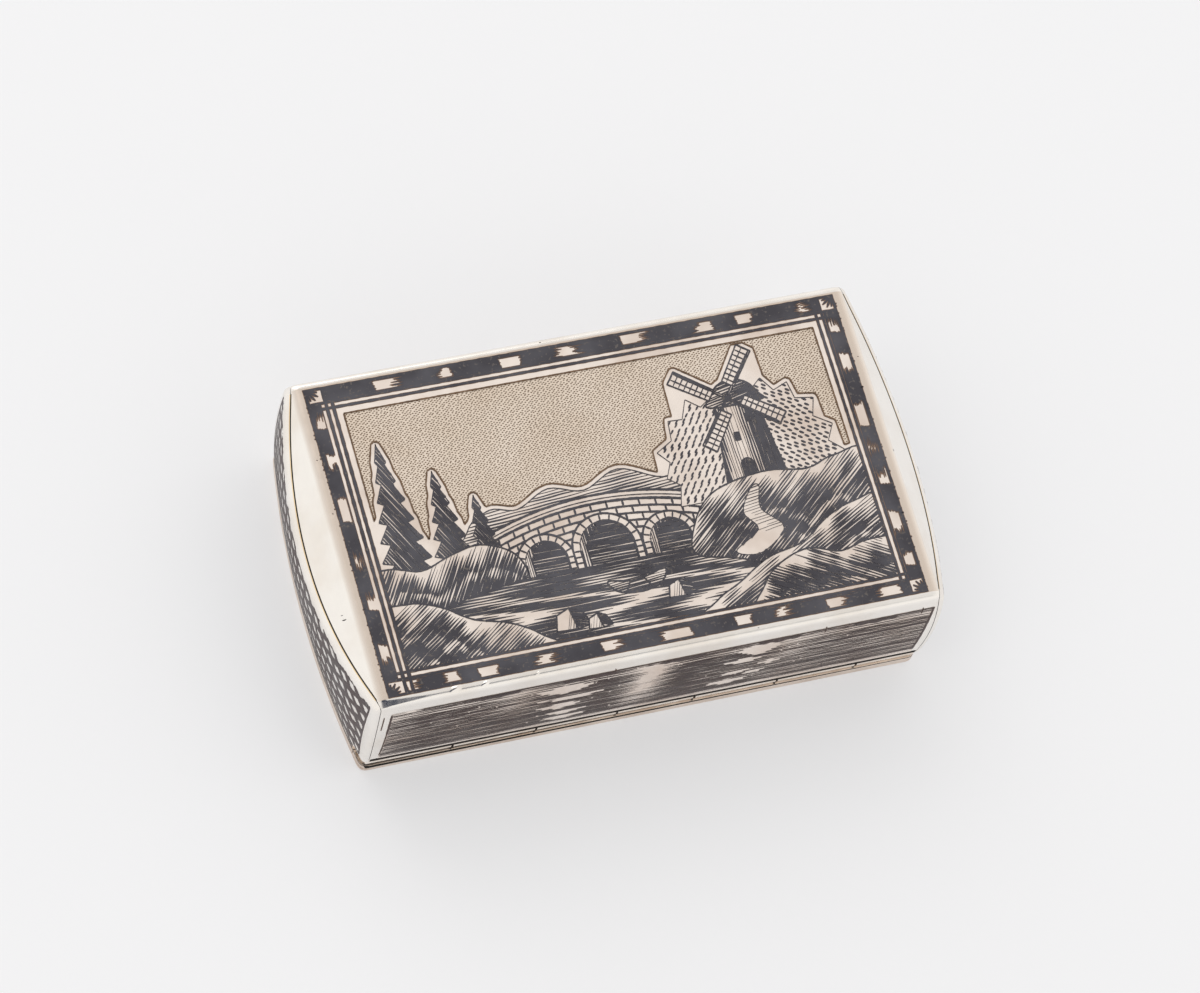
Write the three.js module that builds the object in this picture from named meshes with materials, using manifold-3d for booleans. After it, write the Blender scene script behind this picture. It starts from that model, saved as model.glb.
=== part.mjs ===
// A silver snuff box, lying on its thin hinged lid with the deep case above it.
//
// The case is one sheet bent into a channel (the flat picture face and the two long
// walls), with its ends turned down as shoulders and closed by two bowed end plates.
// The lid is a thin plate with a low rim, and turns about a seven-knuckle hinge that
// runs the full length of the front wall's foot. Millimetres, +X along the box, +Z up,
// the hinge at the front (-Y), the origin under the middle of the box.

import * as THREE from "three";
import { mergeVertices } from "three/addons/utils/BufferGeometryUtils.js";
import Module from "manifold-3d";

const wasm = await Module();
wasm.setup();

// Driving dimensions: the case.
const boxHeight = 21.7;          // table to picture face
const cornerShoulder = 0.8;      // the shoulders' length at the upright corners
const shoulderSlope = 50;        // degrees below level
const longEdgeRadius = 0.9;      // between picture face and long wall
const sheet = 0.9;               // thickness of the bent sheet
const endSheet = 0.8;            // thickness of the end plates, with their seam
const seamGap = 0.08;            // soldered seam round the end plates
const cornerRadius = 0.6;        // upright corners of the case

// Half widths of the case at the top, the middle and the foot of the long walls.
const caseHalfWidth = { top: 22.5, middle: 23.05, foot: 22.4 };
// Half lengths at the upright corners, and how far the ends bow out beyond them.
const caseHalfLength = { top: 37.4, middle: 37.7, foot: 37.3 };
const endBow = { top: 3.1, middle: 3.1, foot: 1.9 };
// The hand-made case leans a little to the right on its way down.
const lean = { top: 0, middle: 0.45, foot: 0.6 };

// Driving dimensions: the lid.
const lidHeight = 1.85;          // table to the top of the rim
const lidSheet = 0.8;
const rimWidth = 0.75;
const lidEdgeRadius = 0.45;      // softened lower edge
const lidCornerRadius = 1.1;
const partingGap = 0.1;          // lid rim to case foot
const fitGap = 0.1;              // soldered strips to the wall that they line

// Driving dimensions: the bezel inside the mouth of the case.
const bezelThickness = 0.6;
const bezelDrop = 0.6;           // how far it stands below the case's foot
const bezelHeight = 3.4;

// Driving dimensions: the hinge.
const knuckleRadius = 1.13;
const knuckleSink = 0.1;         // how deep the tubes sit in the lid's bearer
const knuckleClearance = 0.05;   // tubes to the seats and walls round them
const knuckleChamfer = 0.12;
const knuckleEndGap = 0.1;
const hingeEndInset = 0.4;       // from the lid's corners to the first and last tube
// The tubes are cut by hand from the left end on, and the last takes what is left.
const knuckleLengths = [11.5, 11.1, 10.8, 10.4, 11.2, 10.8];
const pinRadius = 0.42;
const pinClearance = 0.05;
const plugLength = 0.6;
const bearerDepth = 2.0;         // front to back, behind the axis
const bearerRise = 1.5;          // above the front wall's foot
const lidBearerDepth = 2.5;      // front to back, on the lid

// Driving dimensions: the thumb-piece.
const thumbWidth = 13;
const thumbReach = 1.6;
const thumbBevel = 0.2;

// Facet counts.
const bowSegments = 24;
const cornerSegments = 3;
const roundSegments = 24;
const wallLevels = 8;
const edgeLevels = 4;

// Worked-out sizes.
const creaseHalfLength = caseHalfLength.top - cornerShoulder;
const caseFoot = lidHeight + partingGap;
const hingeAxis = {
  y: -(caseHalfWidth.foot - knuckleRadius),
  z: lidHeight + knuckleRadius - knuckleSink,
};
const seatRadius = knuckleRadius + knuckleClearance;
const frontWallFoot = hingeAxis.z + seatRadius;
const edgeBottom = boxHeight - longEdgeRadius;
const beyond = 5;                // how far cutting solids run past what they cut
const clear = 2 * creaseHalfLength; // a length that clears the whole box
const slopeTan = Math.tan(THREE.MathUtils.degToRad(shoulderSlope));
const slopeCos = Math.cos(THREE.MathUtils.degToRad(shoulderSlope));
const hingeHalfLength = caseHalfLength.foot - hingeEndInset;
const thumbTip = caseHalfWidth.foot + fitGap + thumbReach;

// Materials.
const silver = { color: 0xd8d2c8, roughness: 0.28, metalness: 1 };
const gilt = { color: 0xd9b56a, roughness: 0.3, metalness: 1 };

function solid(geometry) {
  const bare = geometry.index ? geometry.toNonIndexed() : geometry.clone();
  bare.deleteAttribute("normal");
  bare.deleteAttribute("uv");
  const merged = mergeVertices(bare, 1e-4);
  return new wasm.Manifold(new wasm.Mesh({
    numProp: 3,
    vertProperties: new Float32Array(merged.attributes.position.array),
    triVerts: new Uint32Array(merged.index.array),
  }));
}

function geometryOf(body) {
  const mesh = body.getMesh();
  const positions = new Float32Array(mesh.numVert * 3);
  for (let i = 0; i < mesh.numVert; i++) {
    positions.set(mesh.vertProperties.subarray(i * mesh.numProp, i * mesh.numProp + 3), i * 3);
  }
  const geometry = new THREE.BufferGeometry();
  geometry.setAttribute("position", new THREE.BufferAttribute(positions, 3));
  geometry.setIndex(new THREE.BufferAttribute(new Uint32Array(mesh.triVerts), 1));
  geometry.computeVertexNormals();
  return geometry;
}

function box(x0, x1, y0, y1, z0, z1) {
  const geometry = new THREE.BoxGeometry(x1 - x0, y1 - y0, z1 - z0);
  geometry.translate((x0 + x1) / 2, (y0 + y1) / 2, (z0 + z1) / 2);
  return solid(geometry);
}

// A value that runs through three given ones on a parabola as s goes from 0 to 1.
function through({ top, middle, foot }, s) {
  return top * (1 - s) * (1 - 2 * s) + 4 * middle * s * (1 - s) + foot * s * (2 * s - 1);
}

const point = (x, y) => new THREE.Vector2(x, y);

// The bowed end seen from above, x = halfLength + bow * (1 - (y / halfWidth)^2), drawn
// for y from -reach to reach. A form's outlines lie about its own middle, at x = lean.
function endCurve({ halfWidth, halfLength, bow }, inset, reach) {
  const drop = bow * (reach / halfWidth) ** 2;
  const x = halfLength + bow - drop - inset;
  return new THREE.QuadraticBezierCurve(
    point(x, -reach), point(x + 2 * drop, 0), point(x, reach),
  ).getPoints(bowSegments);
}

function bothEnds(form, half) {
  return [...half, ...half.map((p) => point(-p.x, -p.y))].map((p) => point(p.x + form.lean, p.y));
}

// One closed outline of the box seen from above: straight long sides, bowed ends, and
// rounded corners that run smoothly into both.
function outline(form, sideInset, endInset, corner) {
  const side = form.halfWidth - sideInset;
  const y = side - corner;
  const end = endCurve(form, endInset, y);
  const x = end[0].x;
  const kneeX = x - (2 * form.bow * y * corner) / form.halfWidth ** 2;
  const startX = kneeX - corner;
  return bothEnds(form, [
    ...new THREE.QuadraticBezierCurve(
      point(startX, -side), point(kneeX, -side), point(x, -y),
    ).getPoints(cornerSegments),
    ...end.slice(1, -1),
    ...new THREE.QuadraticBezierCurve(
      point(x, y), point(kneeX, side), point(startX, side),
    ).getPoints(cornerSegments),
  ]);
}

// The same bowed ends on a slab that is wider than the box, for cutting it across.
function slabOutline(form, endInset) {
  return bothEnds(form, endCurve(form, endInset, form.halfWidth + beyond));
}

// A closed solid through outlines of equal point count, each at its own height.
function loft(sections) {
  const count = sections[0].points.length;
  const positions = sections.flatMap(({ points, z }) => points.flatMap((p) => [p.x, p.y, z]));
  const faces = [];
  for (let k = 0; k + 1 < sections.length; k++) {
    for (let i = 0; i < count; i++) {
      const a = k * count + i;
      const b = k * count + ((i + 1) % count);
      faces.push(a, b, b + count, a, b + count, a + count);
    }
  }
  const last = (sections.length - 1) * count;
  THREE.ShapeUtils.triangulateShape(sections[0].points, []).forEach(([a, b, c]) => {
    faces.push(c, b, a);
  });
  THREE.ShapeUtils.triangulateShape(sections.at(-1).points, []).forEach(([a, b, c]) => {
    faces.push(last + a, last + b, last + c);
  });
  const geometry = new THREE.BufferGeometry();
  geometry.setAttribute("position", new THREE.Float32BufferAttribute(positions, 3));
  geometry.setIndex(faces);
  return solid(geometry);
}

// The case's form at a height, with its long walls and its ends bellied.
function caseForm(z) {
  const s = THREE.MathUtils.clamp((edgeBottom - z) / (edgeBottom - caseFoot), 0, 1);
  return {
    halfWidth: through(caseHalfWidth, s),
    halfLength: through(caseHalfLength, s),
    bow: through(endBow, s),
    lean: through(lean, s),
  };
}

// How far the rounding of the long edges draws the walls in at a height.
function edgeInset(z) {
  const rise = THREE.MathUtils.clamp(z - edgeBottom, 0, longEdgeRadius);
  return longEdgeRadius - Math.sqrt(longEdgeRadius ** 2 - rise ** 2);
}

function caseLoft(levels, sideInset, endInset) {
  return loft(levels.map((z) => ({
    z,
    points: outline(caseForm(z), sideInset(z), endInset, cornerRadius),
  })));
}

// A slab with the case's bowed ends, drawn in by endInset, and far wider than the case.
function caseSlab(endInset) {
  return loft(slabHeights.map((z) => ({ z, points: slabOutline(caseForm(z), endInset) })));
}

// A tunnel with the long walls' belly, drawn in by sideInset, and longer than the case.
function caseTunnel(sideInset) {
  return caseLoft(slabHeights, () => sideInset, -beyond);
}

function wallHeights(from, to, count) {
  return Array.from({ length: count + 1 }, (_, i) => from + ((to - from) * i) / count);
}

// Everything below the flat field and its two shoulders, drawn in by a thickness.
function underShoulders(inset) {
  const top = boxHeight - inset;
  const crease = creaseHalfLength - (inset * (1 - slopeCos)) / Math.sin(Math.atan(slopeTan));
  const reach = 2 * beyond;
  const shape = new THREE.Shape();
  shape.moveTo(-crease, top);
  shape.lineTo(-crease - reach, top - reach * slopeTan);
  shape.lineTo(-crease - reach, -beyond);
  shape.lineTo(crease + reach, -beyond);
  shape.lineTo(crease + reach, top - reach * slopeTan);
  shape.lineTo(crease, top);
  const depth = 2 * (caseHalfWidth.middle + beyond);
  const geometry = new THREE.ExtrudeGeometry(shape, { depth, bevelEnabled: false });
  geometry.rotateX(Math.PI / 2);
  geometry.translate(0, depth / 2, 0);
  return solid(geometry);
}

const roundedHeights = [
  ...wallHeights(caseFoot, edgeBottom, wallLevels),
  ...Array.from({ length: edgeLevels }, (_, i) => {
    const angle = ((i + 1) / edgeLevels) * (Math.PI / 2);
    return edgeBottom + longEdgeRadius * Math.sin(angle);
  }),
];
const slabHeights = [
  caseFoot - beyond,
  ...wallHeights(caseFoot, edgeBottom, wallLevels),
  boxHeight + beyond,
];

// The space kept free for the hinge along the foot of the front wall.
const hingeSlot = box(-clear, clear, -clear, hingeAxis.y + seatRadius, -beyond, frontWallFoot);

const caseBody = caseLoft(roundedHeights, edgeInset, 0)
  .intersect(underShoulders(0))
  .subtract(hingeSlot);

// The bent sheet: picture face, shoulders and long walls, open at both ends.
function caseSheet() {
  const hollow = caseTunnel(sheet).intersect(underShoulders(sheet));
  return caseBody.intersect(caseSlab(endSheet)).subtract(hollow);
}

// An end plate, standing over the ends of the bent sheet and filed to its slope.
function endPlate(side) {
  return caseBody
    .subtract(caseSlab(endSheet - seamGap))
    .intersect(endWindow(side, -clear, clear, -beyond, boxHeight + beyond));
}

// The half of all space at one end of the box, between two values of y and of z.
function endWindow(side, y0, y1, z0, z1) {
  return side > 0 ? box(0, clear, y0, y1, z0, z1) : box(-clear, 0, y0, y1, z0, z1);
}

const bezelLevels = [caseFoot - bezelDrop, caseFoot, caseFoot + bezelHeight - bezelDrop];
const bezelFront = hingeAxis.y + bearerDepth + fitGap;
const bezelInset = sheet + fitGap + bezelThickness;

const bezelBlock = caseLoft(bezelLevels, () => sheet + fitGap, endSheet + fitGap);

// A strip of the bezel that lines one end of the mouth.
function bezelEnd(side) {
  return bezelBlock
    .subtract(caseSlab(endSheet + fitGap + bezelThickness))
    .intersect(caseTunnel(bezelInset + fitGap))
    .intersect(endWindow(side, bezelFront, clear, -beyond, boxHeight));
}

// The strip of the bezel that lines the back wall, as long as the mouth is there.
function bezelBack() {
  return bezelBlock
    .subtract(caseTunnel(bezelInset))
    .intersect(box(-clear, clear, 0, clear, -beyond, boxHeight));
}

// The strip inside the front wall's foot that the case's tubes are soldered to.
function caseBearer() {
  const { y, z } = hingeAxis;
  const openAngle = -Math.PI / 4.5;
  const back = y + bearerDepth;
  const shape = new THREE.Shape();
  shape.absarc(y, z, seatRadius, openAngle, Math.PI / 2, false);
  shape.lineTo(-clear, frontWallFoot);
  shape.lineTo(-clear, frontWallFoot + bearerRise);
  shape.lineTo(back, frontWallFoot + bearerRise);
  shape.lineTo(back, z + seatRadius * Math.sin(openAngle));
  return alongX(shape, -clear, clear)
    .intersect(caseTunnel(sheet + fitGap))
    .intersect(caseSlab(endSheet + fitGap));
}

// A section in the YZ plane, carried along X from x0 to x1.
function alongX(shape, x0, x1) {
  const geometry = new THREE.ExtrudeGeometry(shape, {
    depth: x1 - x0,
    bevelEnabled: false,
    curveSegments: roundSegments / 2,
  });
  geometry.rotateX(Math.PI / 2);
  geometry.rotateZ(Math.PI / 2);
  geometry.translate(x0, 0, 0);
  return solid(geometry);
}

// The lid has the outline of the case's foot.
const lidForm = caseForm(caseFoot);

function lidLoft(levels) {
  return loft(levels.map(({ z, inset }) => ({
    z,
    points: outline(lidForm, inset, inset, lidCornerRadius),
  })));
}

function lidPlate() {
  const steps = Array.from({ length: edgeLevels + 1 }, (_, i) => {
    const angle = (i / edgeLevels) * (Math.PI / 2);
    return {
      z: lidEdgeRadius * (1 - Math.cos(angle)),
      inset: lidEdgeRadius * (1 - Math.sin(angle)),
    };
  });
  return lidLoft([...steps, { z: lidSheet, inset: 0 }]);
}

const lidBand = lidLoft([{ z: lidSheet, inset: 0 }, { z: lidHeight, inset: 0 }]);
const lidBearerBack = -caseHalfWidth.foot + lidBearerDepth;
const rimBackFront = caseHalfWidth.foot - rimWidth;

function lidRimEnd(side) {
  const inner = loft([-beyond, beyond].map((z) => ({
    z,
    points: slabOutline(lidForm, rimWidth),
  })));
  return lidBand
    .subtract(inner)
    .intersect(endWindow(side, lidBearerBack + fitGap, rimBackFront - fitGap, 0, beyond));
}

function lidRimBack() {
  return lidBand.intersect(box(-clear, clear, rimBackFront, clear, 0, beyond));
}

// The strip along the lid's front edge, hollowed for the tubes.
function lidBearer() {
  return lidBand
    .intersect(box(-clear, clear, -clear, lidBearerBack, 0, beyond))
    .subtract(rod(seatRadius, -clear, clear));
}

// A tube along X with its outer edges broken, as turned on a profile.
function knuckle(x0, x1) {
  const bore = pinRadius + pinClearance;
  const length = x1 - x0;
  const profile = [
    [bore, 0],
    [knuckleRadius - knuckleChamfer, 0],
    [knuckleRadius, knuckleChamfer],
    [knuckleRadius, length - knuckleChamfer],
    [knuckleRadius - knuckleChamfer, length],
    [bore, length],
    [bore, 0],
  ].map(([r, y]) => new THREE.Vector2(r, y));
  const geometry = new THREE.LatheGeometry(profile, roundSegments);
  geometry.rotateZ(-Math.PI / 2);
  geometry.translate(x0, hingeAxis.y, hingeAxis.z);
  return solid(geometry);
}

// A round rod on the hinge's axis.
function rod(radius, x0, x1) {
  const geometry = new THREE.CylinderGeometry(radius, radius, x1 - x0, roundSegments);
  geometry.rotateZ(Math.PI / 2);
  geometry.translate((x0 + x1) / 2, hingeAxis.y, hingeAxis.z);
  return solid(geometry);
}

// The lip that the thumb lifts, a low crescent on the lid's back edge.
function thumbPiece() {
  const root = caseHalfWidth.foot + fitGap + thumbBevel;
  const half = thumbWidth / 2 - thumbBevel;
  const tip = thumbReach - 2 * thumbBevel;
  const shape = new THREE.Shape();
  shape.moveTo(-half, root);
  shape.lineTo(half, root);
  shape.bezierCurveTo(half * 0.8, root + tip * 0.6, half * 0.4, root + tip, 0, root + tip);
  shape.bezierCurveTo(-half * 0.4, root + tip, -half * 0.8, root + tip * 0.6, -half, root);
  const height = lidHeight - lidEdgeRadius;
  const geometry = new THREE.ExtrudeGeometry(shape, {
    depth: height - 2 * thumbBevel,
    bevelEnabled: true,
    bevelThickness: thumbBevel,
    bevelSize: thumbBevel,
    bevelSegments: 2,
    curveSegments: 6,
  });
  geometry.translate(lean.foot, 0, lidEdgeRadius + thumbBevel);
  return solid(geometry);
}

const snuffBox = new THREE.Group();

function add(name, body, finish) {
  const mesh = new THREE.Mesh(geometryOf(body), new THREE.MeshStandardMaterial(finish));
  mesh.name = name;
  snuffBox.add(mesh);
}

add("case_sheet", caseSheet(), silver);
add("end_plate_left", endPlate(-1), silver);
add("end_plate_right", endPlate(1), silver);
add("bezel_left", bezelEnd(-1), gilt);
add("bezel_right", bezelEnd(1), gilt);
add("bezel_back", bezelBack(), gilt);
add("case_hinge_bearer", caseBearer(), gilt);
add("lid_plate", lidPlate(), silver);
add("lid_rim_left", lidRimEnd(-1), silver);
add("lid_rim_right", lidRimEnd(1), silver);
add("lid_rim_back", lidRimBack(), silver);
add("lid_hinge_bearer", lidBearer(), silver);
add("thumb_piece", thumbPiece(), silver);

const hingeLeft = lean.foot - hingeHalfLength;
const hingeRight = lean.foot + hingeHalfLength;
const knuckleStarts = knuckleLengths.reduce((starts, l) => [...starts, starts.at(-1) + l], [hingeLeft]);
knuckleStarts.forEach((x0, i) => {
  const x1 = i + 1 < knuckleStarts.length ? knuckleStarts[i + 1] - knuckleEndGap : hingeRight;
  add(`${i % 2 === 0 ? "case" : "lid"}_knuckle_${i + 1}`, knuckle(x0, x1), silver);
});

const pinInset = plugLength + knuckleEndGap;
add("hinge_pin", rod(pinRadius, hingeLeft + pinInset, hingeRight - pinInset), silver);
add("pin_plug_left", rod(pinRadius, hingeLeft, hingeLeft + plugLength), silver);
add("pin_plug_right", rod(pinRadius, hingeRight - plugLength, hingeRight), silver);

// The origin goes under the middle of the whole box.
const extent = new THREE.Box3().setFromObject(snuffBox);
const middle = extent.getCenter(new THREE.Vector3());
snuffBox.children.forEach((mesh) => mesh.position.set(-middle.x, -middle.y, 0));

export default snuffBox;
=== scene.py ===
# A silver snuff box with niello landscapes, lying on its hinged lid in a light tent.
#
# Sizes are in millimetres in the box's own frame: +X along the box, +Z up from the
# table, the origin under the middle of the border on the picture face. They turn into
# metres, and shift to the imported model's place, only where a mesh is made.

import bpy
import bmesh
import numpy as np
from mathutils import Matrix, Vector


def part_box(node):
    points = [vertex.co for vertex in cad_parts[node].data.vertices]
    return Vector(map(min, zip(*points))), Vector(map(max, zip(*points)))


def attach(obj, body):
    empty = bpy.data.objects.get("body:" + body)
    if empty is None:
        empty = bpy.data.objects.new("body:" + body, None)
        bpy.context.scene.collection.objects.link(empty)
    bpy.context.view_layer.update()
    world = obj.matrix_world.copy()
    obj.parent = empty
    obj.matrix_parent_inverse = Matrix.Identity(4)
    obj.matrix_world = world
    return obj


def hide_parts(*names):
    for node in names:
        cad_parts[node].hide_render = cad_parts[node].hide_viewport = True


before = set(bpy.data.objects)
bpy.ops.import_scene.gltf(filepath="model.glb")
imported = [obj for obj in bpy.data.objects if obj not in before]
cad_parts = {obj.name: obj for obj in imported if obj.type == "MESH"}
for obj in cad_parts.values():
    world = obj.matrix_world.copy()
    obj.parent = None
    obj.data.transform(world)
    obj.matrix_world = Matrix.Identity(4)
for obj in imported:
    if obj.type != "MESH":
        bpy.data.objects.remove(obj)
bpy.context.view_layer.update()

MM = 0.001

# The case. Three sizes in a row are those at its top, at half height and at its foot.
BOX_HEIGHT = 21.7
CREASE = 36.6
SLOPE_ANGLE = np.radians(50)
EDGE_RADIUS = 0.9
SHEET = 0.9
END_SHEET = 0.8
SEAM_GAP = 0.08
CORNER = 0.6
HALF_WIDTH = (22.5, 23.05, 22.4)
HALF_LENGTH = (37.4, 37.7, 37.3)
BOW = (3.1, 3.1, 1.9)
LEAN = (0.0, 0.45, 0.6)
CREASE_WEAR = 1.8
ARRIS_WEAR = 0.35

# The lid and hinge.
LID_HEIGHT = 1.85
LID_SHEET = 0.8
LID_EDGE = 0.45
LID_CORNER = 1.1
CASE_FOOT = 1.95
FRONT_FOOT = 4.06
HINGE_SEAT_BACK = -20.09
HINGE_AXIS = (-21.27, 2.88)
TUBE_STARTS = -36.3 + np.cumsum([11.5, 11.1, 10.8, 10.4, 11.2, 10.8])
TUBE_OUTSIDE = 1.145

EDGE_BOTTOM = BOX_HEIGHT - EDGE_RADIUS
SLOPE = np.tan(SLOPE_ANGLE)

# How far an inlay stands over the silver, and the height of one thin level in it.
PROUD = 0.02
LEVEL = 0.0012


# Forms

def unit(value):
    return np.clip(value, 0, 1)


def curve(start, knee, stop, t):
    """Leaves start toward the knee, and comes to stop from it, as t goes from 0 to 1."""
    return (1 - t) ** 2 * start + 2 * t * (1 - t) * knee + t ** 2 * stop


def through(sizes, s):
    """A parabola through three sizes at s = 0, a half and 1."""
    top, middle, foot = sizes
    return top * (1 - s) * (1 - 2 * s) + 4 * middle * s * (1 - s) + foot * s * (2 * s - 1)


def case_form(z):
    """Half width, half length, bow and lean of the case at height z."""
    s = unit((EDGE_BOTTOM - z) / (EDGE_BOTTOM - CASE_FOOT))
    return [through(sizes, s) for sizes in (HALF_WIDTH, HALF_LENGTH, BOW, LEAN)]


def wall_y(z):
    """How far out a long wall stands at height z, below its rounded top edge."""
    return case_form(z)[0]


def end_x(y, z, side, inset=0.0):
    """The bowed end, x = half length + bow (1 - (y / half width) squared), plus lean."""
    half_width, half_length, bow, lean = case_form(z)
    return side * (half_length + bow * (1 - (y / half_width) ** 2) - inset) + lean


def roof(reach, inset=0.0):
    """Height of the flat field and shoulders at a distance from the middle, with the
    crease between them worn to an arc of radius CREASE_WEAR."""
    past = reach - (CREASE - inset * np.tan(SLOPE_ANGLE / 2))
    tangent = CREASE_WEAR * np.tan(SLOPE_ANGLE / 2)
    bend = np.clip(past + tangent, 0, CREASE_WEAR * np.sin(SLOPE_ANGLE))
    worn = CREASE_WEAR - np.sqrt(CREASE_WEAR ** 2 - bend ** 2)
    straight = SLOPE * (past - tangent * np.cos(SLOPE_ANGLE))
    return BOX_HEIGHT - inset - worn - np.clip(straight, 0, None)


def top_at(x, y, z=BOX_HEIGHT - 1.2):
    """Height of the roof over (x, y), with the long edges rounded down to the wall,
    whose face is taken at height z."""
    near = np.clip(EDGE_RADIUS - (wall_y(z) - np.abs(y)), 0, EDGE_RADIUS)
    return roof(np.abs(x)) - EDGE_RADIUS + np.sqrt(EDGE_RADIUS ** 2 - near ** 2)


def meet_roof(outline, z):
    """Moves a line up or down until it lies on the roof, in forty steps by half of what
    is left. outline gives x and y at height z."""
    for _ in range(40):
        x, y = outline(z)
        z = 0.5 * (z + top_at(x, y, z))
    return x, y, z


def shift():
    """From the box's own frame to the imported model's, in millimetres."""
    lid = (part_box("lid_plate")[0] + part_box("lid_plate")[1]) * 500
    case = (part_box("case_sheet")[0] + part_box("case_sheet")[1]) * 500
    return np.array([lid.x - LEAN[2], case.y, 0.0])


SHIFT = shift()


# Meshes

# The least angle of a crisp edge: on flat solids, and on the bent silver.
CRISP = 35
BENT_CRISP = 28


def grid_faces(rows, columns):
    """Four-sided faces over rows by columns of points, numbered row by row."""
    first = np.arange(rows - 1)[:, None] * columns + np.arange(columns - 1)[None, :]
    return np.stack([first, first + 1, first + 1 + columns, first + columns], -1).reshape(-1, 4)


def new_object(name, data):
    thing = bpy.data.objects.new(name, data)
    bpy.context.scene.collection.objects.link(thing)
    return thing


def new_mesh(name, points, faces):
    """A mesh from points in millimetres and lists of their numbers."""
    mesh = bpy.data.meshes.new(name)
    mesh.from_pydata(((points + SHIFT) * MM).tolist(), [], faces)
    return mesh


def join_points(mesh, flatten=False):
    """Joins points that lie together. flatten makes each flat face whole; without it
    only edges of no length go."""
    work = bmesh.new()
    work.from_mesh(mesh)
    bmesh.ops.remove_doubles(work, verts=work.verts, dist=2e-6)
    if flatten:
        bmesh.ops.dissolve_limit(work, angle_limit=np.radians(0.5), verts=work.verts, edges=work.edges)
    else:
        bmesh.ops.dissolve_degenerate(work, edges=work.edges, dist=1e-6)
    work.to_mesh(mesh)
    work.free()


def shade(mesh, sharp=CRISP):
    """Smooth shading, with edges crisp from an angle of sharp degrees."""
    mesh.shade_smooth()
    mesh.set_sharp_from_angle(angle=np.radians(sharp))


def finish_piece(piece, material, body, slot, nodes=()):
    piece.data.materials.clear()
    piece.data.materials.append(material)
    if nodes:
        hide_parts(*nodes)
    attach(piece, body)
    return piece


def make_piece(name, points, faces, material, body, slot, nodes=(), sharp=None):
    """A piece from points in millimetres and faces of equal size, flat shaded unless
    the angle is given from which its edges stay sharp."""
    used, numbers = np.unique(faces, return_inverse=True)
    mesh = new_mesh(name, points[used], numbers.reshape(faces.shape).tolist())
    mesh.validate()
    if sharp:
        join_points(mesh)
        shade(mesh, sharp)
    return finish_piece(new_object(name, mesh), material, body, slot, nodes)


def shell(outer, inner):
    """A closed wall between two grids of points, rows by columns by 3, joined all
    round; outer has its rows up and its columns to the right as seen from outside."""
    rows, columns = outer.shape[:2]
    count = rows * columns
    outward = grid_faces(rows, columns)
    inward = outward[:, ::-1] + count
    number = np.arange(count).reshape(rows, columns)
    rims = []
    for line, turn in ((number[0], 1), (number[:, -1], 1), (number[-1], -1), (number[:, 0], -1)):
        rim = np.stack([line[1:], line[:-1], line[:-1] + count, line[1:] + count], -1)
        rims.append(rim[:, ::turn])
    points = np.concatenate([outer.reshape(-1, 3), inner.reshape(-1, 3)])
    return points, np.concatenate([outward, inward, *rims])


def dress(node, material, body, slot, wear=0.05):
    """A copy of a CAD solid with its points joined, its flat faces made whole and its
    edges worn by a small bevel, standing in for the solid."""
    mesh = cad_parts[node].data.copy()
    join_points(mesh, flatten=True)
    shade(mesh)
    piece = new_object(node + "_worn", mesh)
    if wear:
        bevel = piece.modifiers.new("worn_edges", "BEVEL")
        bevel.width = wear * MM
        bevel.segments = 2
        bevel.limit_method = "ANGLE"
        bevel.angle_limit = np.radians(CRISP)
        bevel.harden_normals = True
    return finish_piece(piece, material, body, slot, (node,))


# Materials

def feed(tree, node, inputs):
    """Gives each named input of a node a value, or the socket that feeds it."""
    for name, value in inputs.items():
        if isinstance(value, bpy.types.NodeSocket):
            tree.links.new(value, node.inputs[name])
        else:
            node.inputs[name].default_value = value
    return node


def add_node(tree, kind, inputs=None, **settings):
    node = tree.nodes.new("ShaderNode" + kind)
    for name, value in settings.items():
        setattr(node, name, value)
    return feed(tree, node, inputs or {})


def new_material(name):
    material = bpy.data.materials.new(name)
    material.use_nodes = True
    tree = material.node_tree
    return material, tree, tree.nodes["Principled BSDF"]


def object_place(tree):
    return add_node(tree, "TexCoord").outputs["Object"]


def object_axes(tree):
    return add_node(tree, "SeparateXYZ", {0: object_place(tree)}).outputs[:]


def spread(tree, value, given, wanted=(0.0, 1.0)):
    """Runs between the two wanted values while value runs between the two given."""
    ends = {"From Min": given[0], "From Max": given[1], "To Min": wanted[0], "To Max": wanted[1]}
    return add_node(tree, "MapRange", {"Value": value, **ends}).outputs["Result"]


def between(tree, mask, low, high):
    return spread(tree, mask, (0.0, 1.0), (low, high))


def zone(tree, value, outside, within):
    """0 where value is at or past outside millimetres, 1 from within millimetres on."""
    return spread(tree, value, (outside * MM, within * MM))


def noise_mask(tree, scale, low, high, detail=3.0, stretch=(1, 1, 1)):
    """Noise on Object coordinates, spread between low and high."""
    mapping = add_node(tree, "Mapping", {"Vector": object_place(tree), "Scale": stretch})
    settings = {"Vector": mapping.outputs["Vector"], "Scale": scale, "Detail": detail}
    return spread(tree, add_node(tree, "TexNoise", settings).outputs["Fac"], (low, high))


def blend_colours(tree, mask, first, second):
    """From first to second with the mask; each is a colour, or the socket of one."""
    first, second = [(*colour, 1) if isinstance(colour, tuple) else colour for colour in (first, second)]
    return add_node(tree, "Mix", {0: mask, 6: first, 7: second}, data_type="RGBA").outputs[2]


def combine(tree, operation, *values):
    return add_node(tree, "Math", dict(enumerate(values)), operation=operation).outputs[0]


def bump(tree, height, deep):
    """A normal with bumps that are deep millimetres."""
    settings = {"Strength": 1.0, "Distance": deep * MM, "Height": height}
    return add_node(tree, "Bump", settings).outputs["Normal"]


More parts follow.
